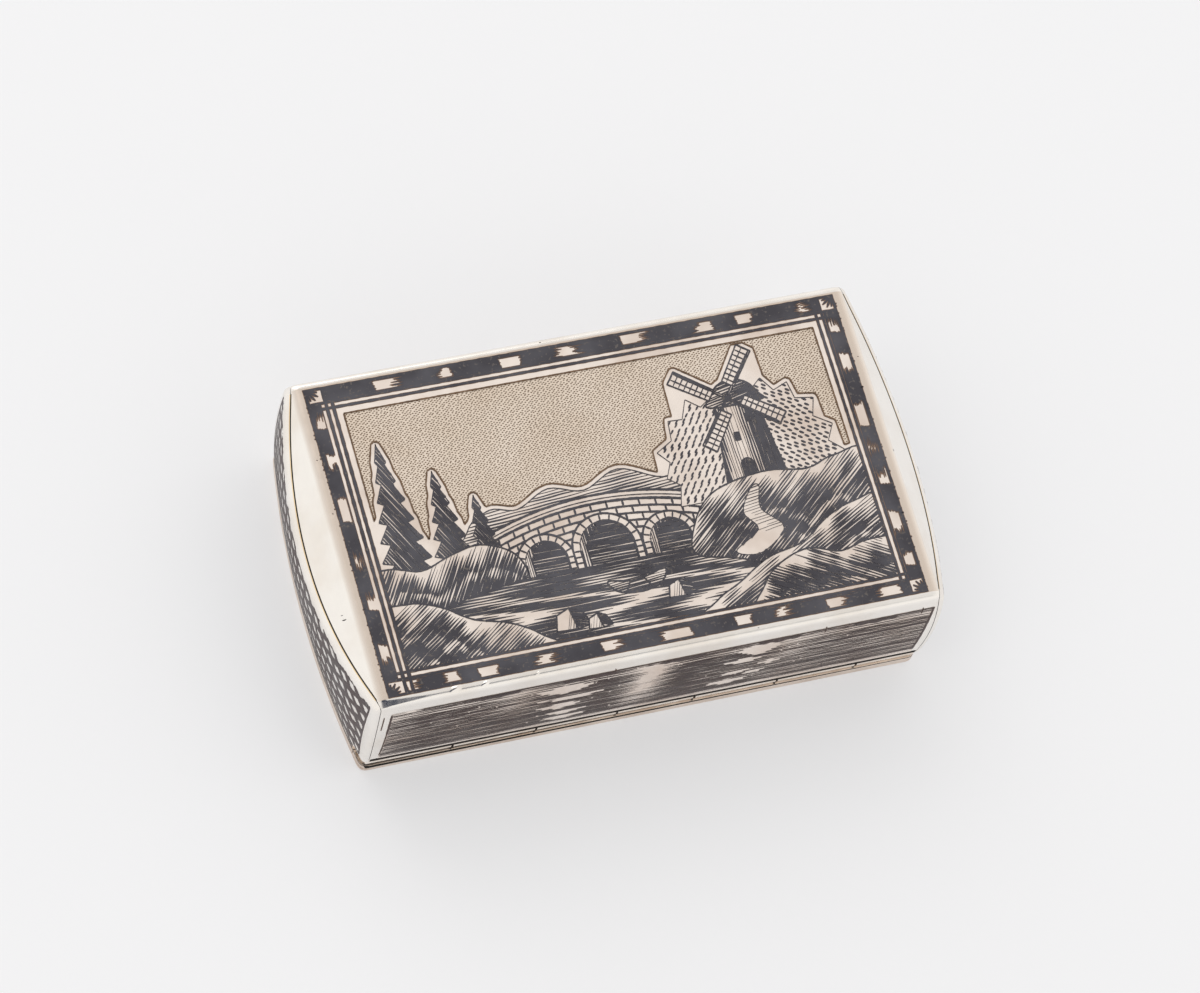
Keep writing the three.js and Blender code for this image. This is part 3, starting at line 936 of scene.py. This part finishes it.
def spandrels():
    """The bridge's wall: a coping, and courses of stones with staggered joints."""
    u = np.linspace(*BRIDGE_SPAN, 40)

    def course_line(drop, width):
        return np.stack([u, deck(u) - drop], -1), width
    left, right = BRIDGE_SPAN
    cuts = [course_line(COPING, 0.34), course_line(0.62, 0.12)]
    for course in range(1, 9):
        drop = COPING + course * COURSE
        cuts.append(course_line(drop, 0.26))
        for start in np.arange(left + (course % 2) * BLOCK / 2, right, BLOCK):
            high = deck(start) - drop + COURSE
            cuts.append(([(start, high), (start + 0.05, high - COURSE)], 0.24))
    outline = [*zip(u, deck(u)), (right, BRIDGE_FOOT), (left, BRIDGE_FOOT)]
    return shape(outline, edge=0.3, cuts=cuts, sky=True)


def arch_shapes(middle, radius, rise):
    """A ring of stones, the dark mouth inside it and the lit edge of its vault."""
    spring = WATER_LEVEL + rise
    ring = radius + 1.0
    centre = np.array([middle, spring])
    joints = [([centre + ray * radius, centre + ray * ring], 0.2) for ray in rays(0, 18, 11)]
    for side in (-1, 1):
        for v in (spring - 0.8, spring - 1.6):
            joints.append(([(middle + side * radius, v), (middle + side * ring, v)], 0.2))

    def opening(wide):
        feet = [(middle - wide, BRIDGE_FOOT), (middle + wide, BRIDGE_FOOT)]
        return [*arc(middle, spring, wide, 0, 180), *feet]
    left = middle - radius
    vault = [*arc(middle, spring, radius, 95, 180), (left, BRIDGE_FOOT), (left + 0.9, BRIDGE_FOOT),
             *arc(middle + 0.9, spring, radius, 180, 110)]
    return [shape(opening(ring), edge=0.26, cuts=joints),
            shape(opening(radius), ramp((0, spring + radius), (0, 9.0), 1.0, 0.72), 0, 0.34, 0.3),
            shape(vault, ramp((left, 0), (left + 1.3, 0), 0.15, 0.9), 90, 0.3, 0.1)]


def mill_tone(u, v):
    """Tone round the tower, lit from the left."""
    across = (u - MILL) / (MILL_HALF - (v - MILL_FOOT) * MILL_TAPER)
    return unit(0.12 + 1.05 * (across + 0.35) ** 2 + 0.35 * (across < -0.8))


def sail(ray):
    """One lattice sail with its bars, and its spar from the hub."""
    side = np.array([-ray[1], ray[0]])

    def at(out, off):
        return HUB + ray * out + side * off
    near, far = SAIL_START, SAIL_STOP
    cuts = [([at(out, -0.25), at(out, 1.7)], 0.17) for out in np.arange(2.5, far, 0.72)]
    cuts += [([at(near, 0.85), at(far, 0.95)], 0.15), ([at(near, 0), at(far, 0)], 0.3)]
    degrees = np.degrees(np.arctan2(ray[1], ray[0]))
    lattice = [at(near, -0.25), at(far, -0.25), at(far, 1.75), at(near, 1.45)]
    spar = [at(0, 0.16), at(2.0, 0.14), at(2.0, -0.14), at(0, -0.16)]
    return [shape(lattice, edge=0.2, cuts=cuts, sky=True),
            shape(spar, even(1.0), degrees, 0.2, 0.12)]


def mill_shapes():
    """A round stone tower mill with a boat-shaped cap and four lattice sails."""
    body = [(MILL - MILL_HALF, MILL_FOOT), (MILL - 2.75, MILL_TOP),
            (MILL + 2.75, MILL_TOP), (MILL + MILL_HALF, MILL_FOOT)]
    door = [*arc(MILL - 0.7, 18.6, 0.8, 0, 180, 9), (MILL - 1.5, 15), (MILL + 0.1, 15)]
    parts = [shape(body, mill_tone, 92, 0.34, 0.24, sky=True, feather=0.5),
             shape(door, even(1.0), 90, 0.3, 0.2)]
    for u, v in ((MILL - 1.3, 22.0), (MILL + 0.9, 24.4)):
        window = [(u, v), (u, v + 1.1), (u + 0.7, v + 1.1), (u + 0.7, v)]
        parts.append(shape(window, even(1.0), 0, 0.24, 0.14))
    cap = [(-3.3, 27.0), (-3.1, 28.4), (-1.6, 29.9), (0.4, 30.5), (2.4, 29.6), (3.4, 28.0), (3.5, 27.0)]
    cap = smooth_outline([(MILL + u, v) for u, v in cap], 5)
    parts.append(shape(cap, ramp((MILL - 3, 29.5), (MILL + 2.5, 27.2), 0.35, 1.0), 12, 0.32, 0.22, sky=True))
    for ray in rays(52, 90, 4):
        parts += sail(ray)
    parts.append(shape(arc(*HUB, 0.55, 0, 330, 10), even(1.0), 0, 0.2, 0.14, sky=True))
    return parts


def stone(u, v, big):
    """A stone in the water, its lit side and its shaded side."""
    lit = np.array([(-1.7, -0.8), (-1.3, 0.9), (0.1, 1.5), (0.5, -0.9)]) * big + (u, v)
    shaded = np.array([(0.5, -0.9), (0.1, 1.5), (1.3, 1.0), (2.0, -0.6)]) * big + (u, v)
    return [shape(lit, ramp((u - 1.5, v), (u + 0.6, v - 1), 0.0, 0.4), 70, 0.32, 0.2),
            shape(shaded, even(0.85), -20, 0.32, 0.2, feather=0.2)]


def water_tone(u, v):
    """Dark under the bridge and banks, with long bright streaks in between."""
    streak = 0.5 + 0.5 * np.sin(u * 0.42 + 3.1 * np.sin(v * 1.15) + v * 0.9)
    near = unit((WATER_LEVEL - v) / 4.0)
    return np.clip(0.95 - (0.30 + 0.62 * near) * streak ** 2, 0.05, 1)


def landscape():
    """Every shape of the picture, the farthest first."""
    hills = smooth_outline([(12, 11), (12, 16.6), (15.5, 18.9), (19, 18.3), (23.5, 20.3), (28, 19.2),
                            (33, 21.2), (38.5, 19.0), (43, 20.4), (47, 18.4), (50, 12)])
    left_bank = [(-3, 12.6), (1, 13.6), (5, 12.6), (9, 13.9), (13, 14.6), (16.6, 13.0), (18.0, 10.4),
                 (17.0, 8.9), (11, 8.2), (5, 6.6), (-3, 6.0)]
    crown = [(39.6, 14.5), (40.4, 17.4), (38.9, 18.6), (39.9, 20.7), (38.6, 22.3), (40.9, 23.6),
             (41.2, 26.3), (43.1, 26.2), (44.2, 28.8), (45.9, 27.4), (47.7, 28.6), (48.4, 14.5)]
    thicket = [(52.6, 15.5), (52.8, 28.4), (54.6, 29.9), (55.9, 27.9), (57.9, 28.7), (58.3, 26.3),
               (60.7, 25.9), (59.9, 23.4), (62.1, 21.9), (60.9, 19.7), (62.8, 17.9), (61.2, 15.5)]
    knoll = [(39.6, 8.0), (40.8, 12.2), (43.4, 15.2), (47, 16.6), (52, 17.2), (57, 16.5), (61, 17.6),
             (66, 17.0), (66, 3), (54, 3), (45, 6.2)]
    path = smooth_outline([(44.8, 7.2), (48.4, 9.6), (47.2, 12.2), (49.0, 15.2), (50.2, 15.4), (49.6, 12.3),
                           (51.8, 9.2), (48.0, 6.4)])
    front_left = [(-3, 7.4), (2, 8.6), (6, 7.4), (9.6, 5.0), (14.0, 3.6), (17.4, 1.4), (19.5, -2), (-3, -2)]
    hull = smooth_outline([(27.6, 6.5), (28.6, 4.9), (31.4, 4.4), (34.2, 5.0), (35.2, 6.9), (31.2, 6.0)])
    oars = [([(30.6, 6.4), (28.9, 3.4)], 0.2), ([(32.2, 6.2), (33.8, 3.4)], 0.2)]
    front_right = [(66, 10.5), (61.5, 10.9), (57.5, 9.4), (53.6, 6.8), (48.6, 5.6), (44.0, 3.0),
                   (40.5, 1.2), (38, -2), (66, -2)]
    hump = [(50, 4.6), (54, 5.8), (58, 4.6), (61.8, 5.4), (66, 4.6), (66, -2), (46, -2), (47.2, 2.2)]
    water = [(-1, -1), (65, -1), (65, WATER_LEVEL), (-1, WATER_LEVEL)]
    return [
        shape(hills, crest(hills, 5, bright=0.1, dark=0.75), 4, 0.4, 0.14, sky=True, feather=0.5),
        shape(water, water_tone, 0, 0.38, 0, feather=0.5),
        spandrels(),
        *[part for arch in ARCHES for part in arch_shapes(*arch)],
        fir(9.7, 11.5, 25.6, 3.0, 6),
        fir(3.7, 11.5, 30.6, 3.7, 7),
        fir(14.0, 11.8, 21.4, 2.2, 5),
        bank(left_bank, 3.1, 58, 0.6),
        leafy(crown, 48),
        leafy(thicket, -35),
        *mill_shapes(),
        bank(knoll, 5.2, 40, 0.9, sky=True),
        shape(path, ramp((46, 7), (50, 15), 0.0, 0.25), 8, 0.4, 0.12),
        bank(front_left, 4.2, 35, 0.8),
        *stone(21.6, 2.2, 1.25),
        *stone(25.0, 1.4, 0.85),
        *stone(36.4, 3.6, 1.0),
        shape(hull, ramp((0, 6.4), (0, 4.6), 0.25, 1.0), 5, 0.3, 0.24, cuts=oars),
        bank(front_right, 4.4, 28, 0.8),
        bank(hump, 3.8, 150, 0.7, pitch=0.38),
    ]


def hidden_by(nearer):
    """Tells which points lie beside the picture or under one of the nearer shapes."""
    def covered(u, v):
        hidden = (u < 0) | (u > PICTURE_WIDE) | (v < 0) | (v > PICTURE_HIGH)
        for other in nearer:
            low, high = other["outline"].min(0), other["outline"].max(0)
            close = (u > low[0]) & (u < high[0]) & (v > low[1]) & (v < high[1]) & ~hidden
            if close.any():
                hidden[close] |= inside(other["outline"], u[close], v[close])
        return hidden
    return covered


def engrave(shapes):
    """Hatches each shape and cuts its outline where no nearer shape covers it."""
    hatches, edges, lines = [], [], []
    for number, part in enumerate(shapes):
        outline = part["outline"]
        covered = hidden_by(shapes[number + 1:])

        def tone(u, v):
            kept = inside(outline, u, v)
            kept[kept] = ~covered(u[kept], v[kept])
            return np.where(kept, part["tone"](u, v), 0)

        def outside(u, v):
            return covered(u, v) | ~inside(outline, u, v)

        if part["tone"]:
            low = np.maximum(outline.min(0), -0.5)
            high = np.minimum(outline.max(0), (PICTURE_WIDE + 0.5, PICTURE_HIGH + 0.5))
            looks = part["angle"], part["pitch"], 0.14, part["feather"]
            hatches.append(hatch(tone, low, high, *looks, seed=number))
        if part["edge"]:
            edges.append(stroke([*outline, outline[0]], part["edge"], covered, taper=False))
        lines += [stroke(path, width, outside) for path, width in part["cuts"]]
    return gather([gather(hatches, 0), gather(edges, 1, 2), gather(lines, 1, 12)], 0)


def skyline(shapes, u):
    """Lower edge of the sky: the highest shape over each u, plus a margin all round."""
    reach = np.linspace(-SKY_MARGIN, SKY_MARGIN, 13)
    lift = np.sqrt(np.maximum(SKY_MARGIN ** 2 - reach ** 2, 0))
    high = np.full(len(u), 13.5)
    for part in shapes:
        if part["sky"]:
            for step, rise in zip(reach, lift):
                high = np.maximum(high, upper_edge(part["outline"], u + step) + rise)
    return high


def lay_picture():
    shapes = landscape()
    to_face = np.array([PICTURE_LEFT, PICTURE_BOTTOM, 0])
    flat, faces = engrave(shapes)
    inlay("picture_niello", (flat + to_face, faces), on_face, niello)
    left, right, top = 0.9, PICTURE_WIDE - 0.8, PICTURE_HIGH - 0.75
    u = np.linspace(left, right, 420)
    low = np.minimum(skyline(shapes, u), top - 0.3)
    flat = np.column_stack([np.tile(u, 2), np.concatenate([low, np.full_like(u, top)])]) + to_face[:2]
    inlay("picture_sky", (flat, grid_faces(2, len(u))), on_face, sky_gilt)
    points, faces = stroke([(left, top), *zip(u, low), (right, top), (left, top)], 0.2, taper=False)
    inlay("sky_incised_line", (points + to_face, faces), on_face, incised)


# The walls and ends. Each flame has its start and stop along the wall, its depth below
# the box's top and its thickness.

FLAMES = ((-15.2, -9.8, 5.1, 1.5), (-14.5, -8.2, 7.8, 0.7), (-14.9, -10.3, 10.0, 1.1),
          (-13.9, -9.5, 12.4, 0.9), (-14.4, -8.8, 14.4, 0.8), (10.9, 15.2, 4.4, 2.0),
          (9.2, 13.5, 7.1, 0.9), (13.7, 16.7, 8.9, 0.6), (9.0, 12.4, 10.6, 0.7),
          (11.8, 14.7, 11.5, 0.6), (7.9, 12.5, 13.4, 1.0))
# Ends along the wall: of the pattern, as it lies on the front, and of the niello on the
# front and on the back. Then depths below the box's top, the last two of them where the
# warm ground stops on the front and on the back.
PATTERN_ENDS = (-35.05, 36.4)
FRONT_ENDS = (-35.1, 36.45)
BACK_ENDS = (-36.4, 35.1)
FIELD_TOP, FIELD_FOOT, LINE_DEPTH = 2.4, 16.4, 2.66
FRONT_GROUND_FOOT, BACK_GROUND_FOOT = 17.5, 19.6


def column(away, wide):
    """An upright column of tone, 1 in its middle and fading to either side."""
    return np.exp(-(away / wide) ** 2)


def front_tone(x, z):
    """Tone of the long walls' niello, like light on ruffled water: dark fields of level
    lines, two columns of bright flames and a pale column between them."""
    depth = BOX_HEIGHT - z
    ripple = 0.5 * np.sin(x * 0.31 + 1.3 * np.sin(depth * 0.8)) + 0.5 * np.sin(x * 0.83 + depth * 1.9)
    upper = unit((11.0 - depth) / 3.0)
    tone = 0.47 + 0.06 * ripple + 0.20 * unit((depth - 9.5) / 4.0) - 0.09 * unit((x - 6) / 10)
    tone -= 0.20 * unit((-30.5 - x) / 4.5)
    tone -= 0.24 * column(x + 18.2, 3.4) * upper
    tone -= 0.43 * column(x + 1.2 + 0.16 * (depth - 8), 3.0) * np.clip((16.0 - depth) / 5.0, 0.25, 1)
    tone -= 0.12 * column(x - 17.5, 3.0) * upper
    tone += 0.16 * column(x - 4.4, 2.0) + 0.10 * column(x + 6.2, 2.2)
    for start, stop, down, thick in FLAMES:
        middle, half = 0.5 * (start + stop), 0.5 * (stop - start)
        run = (x - middle) / half
        sag = down + 0.18 * (1 - run ** 2)
        reach = np.clip(1 - np.abs(run) / 1.5, 0.01, 1) * np.clip(1.15 + 0.35 * run, 0.5, 1.5)
        flame = unit(1.6 - 1.6 * (np.abs(depth - sag) / (0.85 * thick * reach)) ** 2)
        shadow = np.exp(-(run * 0.8) ** 2 - ((depth - sag - 0.75 * thick) / 0.5) ** 2)
        tone = tone + 0.25 * shadow - 0.95 * flame
    wavy = 3.35 + 0.35 * np.sin(x * 0.5) + 0.12 * np.sin(x * 2.9)
    tone = np.maximum(tone, unit((wavy - depth) / 0.4) * unit((x + 32.5) / 2))
    foot = 16.2 + 0.25 * unit((-18 - x) / 6)
    edges = unit((depth - 2.55) / 0.4) * unit((foot - depth) / 0.4)
    within = (x > PATTERN_ENDS[0]) & (x < PATTERN_ENDS[1])
    return np.where(within, unit(tone) * edges, 0)


def wall_hatch(tone, ends, seed):
    low, high = (ends[0], BOX_HEIGHT - FIELD_FOOT), (ends[1], BOX_HEIGHT - FIELD_TOP)
    return hatch(tone, low, high, 0, 0.46, 0.2, 0.55, seed, 0.035, 0.3)


def wall_line(start, stop, width, taper=False, step=0.4):
    """A cut on a long wall; each end has its x and its depth below the box's top."""
    ends = [(x, BOX_HEIGHT - depth) for x, depth in (start, stop)]
    return stroke(ends, width, taper=taper, step=step)


def lay_wall_ground(name, side, ends, foot):
    """Warm tarnish under a long wall's field, down to the depth foot."""
    x, z = np.meshgrid(ends, BOX_HEIGHT - np.linspace(foot, FIELD_TOP, 18))
    flat = np.stack([x, z], -1).reshape(-1, 2)
    inlay(name, (flat, grid_faces(18, 2)), on_wall(side), tarnished, turned=side > 0)


def lay_walls():
    """The niello on the long walls; the lines that frame the front field have a fringe."""
    lines = [
        wall_line((-31.0, LINE_DEPTH), (36.4, LINE_DEPTH), 0.27),
        wall_line((36.3, LINE_DEPTH), (36.3, 15.7), 0.24),
        wall_line((-35.05, 2.7), (-35.12, 8.2), 0.2, taper=True),
        wall_line((-35.12, 8.0), (-35.1, 15.4), 0.09, taper=True),
        wall_line((-36.0, 3.0), (-36.05, 6.5), 0.07, taper=True),
    ]
    lines += [wall_line((x, 2.16), (x, 3.56), 0.13, taper=True, step=0.2) for x in (-6.1, 21.8, 34.8)]
    fringe = gather([widened(line, 0.05) for line in lines])
    inlay("front_wall_fringe", fringe, on_wall(-1), brown)
    cuts = wall_hatch(front_tone, FRONT_ENDS, 5)
    inlay("front_wall_niello", gather([cuts, *lines]), on_wall(-1), brown_niello)
    back = [wall_hatch(lambda x, z: front_tone(-x, z), BACK_ENDS, 9),
            wall_line((BACK_ENDS[0], LINE_DEPTH), (BACK_ENDS[1], LINE_DEPTH), 0.27)]
    back += [wall_line((x, LINE_DEPTH), (x, 16.1), 0.24) for x in BACK_ENDS]
    inlay("back_wall_niello", gather(back), on_wall(1), brown_niello, turned=True)


def lattice_tone(y, z):
    """Niello ground with bright pointed lozenges, staggered row by row."""
    wide, high = 3.5, 2.6
    y = y + 0.14 * np.sin(z * 2.1)
    z = z + 0.16 * np.sin(y * 1.3)
    a = np.abs(y / wide - np.round(y / wide)) * wide / 1.05
    b = np.abs(z / high - np.round(z / high)) * high / 0.76
    c = np.abs(y / wide - np.floor(y / wide) - 0.5) * wide / 1.05
    d = np.abs(z / high - np.floor(z / high) - 0.5) * high / 0.76
    away = np.minimum(a + b ** 1.3, c + d ** 1.3)
    return unit((away - 0.72) / 0.3)


def lay_ends():
    """The lattice on each bowed end, clear of the arris, the foot and the hinge's seat."""
    for side, hand in ((-1, "left"), (1, "right")):
        def tone(y, z):
            arris = top_at(end_x(y, z, side), y, z)
            foot = np.where(y < HINGE_SEAT_BACK + 0.35, FRONT_FOOT, CASE_FOOT) + 0.3
            field = (z < arris - 0.26) & (np.abs(y) < 21.5) & (z > foot)
            return np.where(field, lattice_tone(y, z), 0)
        parts = [hatch(tone, (-21.55, CASE_FOOT + 0.3), (21.55, BOX_HEIGHT), 0, 0.2, 0.16, 0.2, 3, 0.0, 0.0)]
        for y, foot in ((-21.5, FRONT_FOOT), (21.5, CASE_FOOT)):
            parts.append(stroke([(y, foot + 0.3), (y, BOX_HEIGHT - 1.7)], 0.3, step=0.4))
        inlay(f"end_niello_{hand}", gather(parts), on_end(side), brown_niello, turned=side < 0)


def lay_seams():
    """Each shoulder's seam: a dark line in the joint and a thread of gilt solder on its
    outer side."""
    y = np.linspace(-21.2, 21.2, 81)
    for side, hand in ((-1, "left"), (1, "right")):
        lines = []
        for inset in (END_SHEET + 0.07, END_SHEET - 0.05, END_SHEET - 0.14):
            x, _, z = meet_roof(lambda height: (end_x(y, height, side, inset), y), np.full_like(y, 18.0))
            lines.append(np.stack([x + side * 0.7 * PROUD, y, z + 0.7 * PROUD], -1))
        for name, pair, material, slot in (("seam_line", lines[:2], crevice, "silver"),
                                           ("seam_solder", lines[1:], pale_gilt, "gilt")):
            faces = grid_faces(2, len(y))[:, ::-side]
            make_piece(f"{name}_{hand}", np.concatenate(pair), faces, material, "case", slot)


def lay_dark_joints_and_shade():
    """Dark rings in the joints between tubes; painted shade along the front wall's foot and in
    the parting between case and lid; and a thin dark line at the foot of the back and ends."""
    turn = np.linspace(0, 2 * np.pi, 33)
    across, up = HINGE_AXIS[0] + TUBE_OUTSIDE * np.cos(turn), HINGE_AXIS[1] + TUBE_OUTSIDE * np.sin(turn)
    parts = []
    for start in TUBE_STARTS:
        ring = [np.column_stack([np.full_like(turn, start + along), across, up]) for along in (-0.15, 0.05)]
        parts.append((np.concatenate(ring), grid_faces(2, len(turn))[:, ::-1]))
    make_piece("joint_grime", *gather(parts, 0), crevice, "case", "silver")

    # Painted shade: a dark band about 0.9 mm high along the front wall's foot; at the back and the ends only
    # a thin dark line at the foot.
    x = np.linspace(-36.0, 37.2, 60)
    y = np.linspace(-21.7, 21.7, 60)
    y = y[y > HINGE_SEAT_BACK]
    front_top = FRONT_FOOT + 0.82 + 0.08 * unit(-x / 30)
    lines = []
    for place, along, foot, top, flip in ((on_wall(-1), x, FRONT_FOOT, front_top, 1),
                                          (on_wall(1), x, CASE_FOOT, CASE_FOOT + 0.12 + 0 * x, -1),
                                          (on_end(-1), y, CASE_FOOT, CASE_FOOT + 0.12 + 0 * y, -1),
                                          (on_end(1), y, CASE_FOOT, CASE_FOOT + 0.12 + 0 * y, 1)):
        heights = np.concatenate([foot + 0.01 + 0 * along, top])
        flat = np.column_stack([np.tile(along, 2), heights])
        lines.append((place(flat, PROUD), grid_faces(2, len(along))[:, ::flip]))
    make_piece("foot_shade_and_dark_line", *gather(lines, 0), crevice, "case", "silver")

    # Painted shade in the parting between case and lid, deepest along the front toward the left.
    ring = lid_outline(-0.6 * PROUD)
    ring = np.concatenate([ring, ring[:1]])
    deep = 0.16 + 0.55 * (ring[:, 1] < -22.3) * unit((24 - ring[:, 0]) / 42)
    band = [np.column_stack([ring, LID_HEIGHT - down]) for down in (deep, 0 * deep + 0.01)]
    make_piece("parting_painted_shade", np.concatenate(band), grid_faces(2, len(ring)), crevice, "lid", "silver")


# Each burr has its place, its reach along and across the edge, and its height.
BURRS = ((-26.9, -21.75, 0.75, 0.42, 0.16), (-23.1, -21.85, 0.5, 0.3, 0.10), (-16.4, -21.9, 0.3, 0.2, 0.05))
# Each pit has its place and its reach along and across.
PITS = ((-37.9, -9.6, 0.22, 0.08), (-38.0, -8.9, 0.1, 0.05), (-36.0, 4.0, 0.08, 0.08),
        (-36.1, 11.5, 0.1, 0.06), (36.9, -1.5, 0.09, 0.07), (36.1, 12.0, 0.1, 0.05),
        (-4.0, 21.9, 0.12, 0.06), (12.5, -21.75, 0.1, 0.05))


def lay_nicks():
    """Burrs raised on the front edge, and pits in the shoulders and margins."""
    u, v = np.meshgrid(np.linspace(-1, 1, 17), np.linspace(-1, 1, 13))
    dome = ((1 - u ** 2) * (1 - v ** 2)) ** 1.5
    parts = []
    for x, y, long, wide, high in BURRS:
        px, py = x + long * u + 0.25 * v, y + wide * v
        pz = top_at(px, py) - 0.01 - worn_corner(px, py) + high * dome
        parts.append((np.stack([px, py, pz], -1).reshape(-1, 3), grid_faces(13, 17)))
    make_piece("edge_burrs", *gather(parts, 0), case_silver, "case", "silver", sharp=60)

    turn = np.linspace(0, 2 * np.pi, 13)[:-1]
    fan = np.stack([np.zeros(10, int), np.arange(1, 11), np.arange(2, 12)], -1)
    pits = []
    for x, y, long, wide in PITS:
        px = x + long * np.cos(turn) * (1 + 0.2 * np.sin(3 * turn))
        py = y + wide * np.sin(turn) - 0.3 * long * np.cos(turn)
        pits.append((np.stack([px, py, top_at(px, py) + 0.4 * PROUD], -1), fan))
    make_piece("small_pits", *gather(pits, 0), crevice, "case", "silver")


def lay_lid():
    """The lid's outer face, unseen from above: the same border round a plain field."""
    def tone(u, v):
        field = (np.abs(u - LEAN[2]) < 31.0) & (np.abs(v) < 16.6)
        return np.where(field, 0.55 + 0.4 * np.sin(u * 0.32) * np.cos(v * 0.4), 0)
    frame_lines = border(-34.6 + LEAN[2], 34.6 + LEAN[2], -20.6, 20.6)
    field = hatch(tone, (-31, -17), (33, 17), 32, 0.42, 0.3, 0.4, 12)
    inlay("lid_niello", gather([frame_lines, field], 0), on_lid, niello, body="lid", turned=True)


ground = np.array([(BORDER[x], BORDER[y]) for y in ("bottom", "top") for x in ("left", "right")])
inlay("picture_ground", (ground, grid_faces(2, 2)), on_face, tarnished)
lay_wall_ground("front_ground", -1, FRONT_ENDS, FRONT_GROUND_FOOT)
lay_wall_ground("back_ground", 1, (BACK_ENDS[0] - 0.05, BACK_ENDS[1]), BACK_GROUND_FOOT)
framing = border(**BORDER)
inlay("border_fringe", widened(framing, 0.06), on_face, brown)
inlay("border_niello", framing, on_face, niello)
lay_picture()
lay_nicks()
lay_walls()
lay_ends()
lay_seams()
lay_dark_joints_and_shade()
lay_lid()


# The studio

# The camera: its lens, its place over the middle of the picture face in millimetres,
# and the directions to its right, up and back.
LENS = 157.85
CAMERA_PLACE = (-173.3, -240.8, 590.9)
CAMERA_AXES = ((0.9489, -0.2688, 0.1653), (0.1803, 0.8918, 0.4150), (-0.2589, -0.3640, 0.8947))
# Each dim opening has its direction, and how near to it the tent begins and ends.
OPENINGS = (((-0.24, -0.36, 0.90), 0.93, 0.965), ((0.04, -0.56, 0.83), 0.9703, 0.9832))
FLOOR_GLOW = 0.39
LAMP_PLACE = (-0.25, 1.1, 0.9)


def make_floor():
    """A pale board that looks as bright as the tent to the lens and in reflections."""
    mesh = bpy.data.meshes.new("studio_floor")
    mesh.from_pydata([(-3, -3, 0), (3, -3, 0), (3, 3, 0), (-3, 3, 0)], [], [(0, 1, 2, 3)])
    material, tree, shader = new_material("pale_board")
    tree.nodes.remove(shader)
    rays_seen = add_node(tree, "LightPath").outputs
    seen = combine(tree, "MAXIMUM", rays_seen["Is Camera Ray"], rays_seen["Is Glossy Ray"])
    seen = combine(tree, "MAXIMUM", seen, rays_seen["Is Transmission Ray"])
    level = combine(tree, "MULTIPLY", seen, FLOOR_GLOW)
    board = add_node(tree, "BsdfDiffuse", {"Color": (0.60, 0.60, 0.605, 1)})
    glow = add_node(tree, "Emission", {"Color": (0.95, 0.955, 0.97, 1), "Strength": level})
    both = add_node(tree, "AddShader", {0: board.outputs[0], 1: glow.outputs[0]})
    feed(tree, tree.nodes["Material Output"], {"Surface": both.outputs[0]})
    mesh.materials.append(material)
    floor = new_object("studio_floor", mesh)


def make_world():
    """A light tent: bright walls, a greyer top, and two dim openings."""
    world = bpy.data.worlds.new("light_tent")
    bpy.context.scene.world = world
    world.use_nodes = True
    tree = world.node_tree
    direction = add_node(tree, "TexCoord").outputs["Generated"]
    height = add_node(tree, "SeparateXYZ", {0: direction}).outputs["Z"]
    tent = add_node(tree, "ValToRGB", {"Fac": height})
    stops = tent.color_ramp.elements
    stops[0].position, stops[0].color = 0.0, (1.0, 0.99, 0.97, 1)
    stops[1].position, stops[1].color = 0.95, (0.82, 0.81, 0.80, 1)
    stops.new(0.45).color = (0.97, 0.96, 0.945, 1)
    colour = tent.outputs["Color"]
    for toward, start, stop in OPENINGS:
        facing = add_node(tree, "VectorMath", {0: direction, 1: toward}, operation="DOT_PRODUCT")
        opening = spread(tree, facing.outputs["Value"], (start, stop))
        colour = blend_colours(tree, opening, colour, (0.045, 0.055, 0.085))
    feed(tree, tree.nodes["Background"], {"Color": colour, "Strength": 1.0})


def make_light():
    """A soft round light high behind the box."""
    light = bpy.data.lights.new("back_softbox", "AREA")
    light.shape = "DISK"
    light.size = 1.2
    light.energy = 3.2
    lamp = new_object("back_softbox", light)
    lamp.location = LAMP_PLACE
    lamp.rotation_euler = (-Vector(LAMP_PLACE)).to_track_quat("-Z", "Y").to_euler()


def make_camera():
    """A long lens from the front left, well above the box."""
    camera = bpy.data.cameras.new("studio_camera")
    camera.sensor_width = 36.0
    camera.sensor_fit = "HORIZONTAL"
    camera.lens = LENS
    camera.clip_start = 0.01
    camera.clip_end = 20.0
    viewer = new_object("studio_camera", camera)
    place = (np.array(CAMERA_PLACE) + (0, 0, BOX_HEIGHT) + SHIFT) * MM
    viewer.matrix_world = Matrix.Translation(place) @ Matrix(CAMERA_AXES).transposed().to_4x4()
    bpy.context.scene.camera = viewer


make_floor()
make_world()
make_light()
make_camera()
bpy.context.scene.view_settings.view_transform = "Standard"
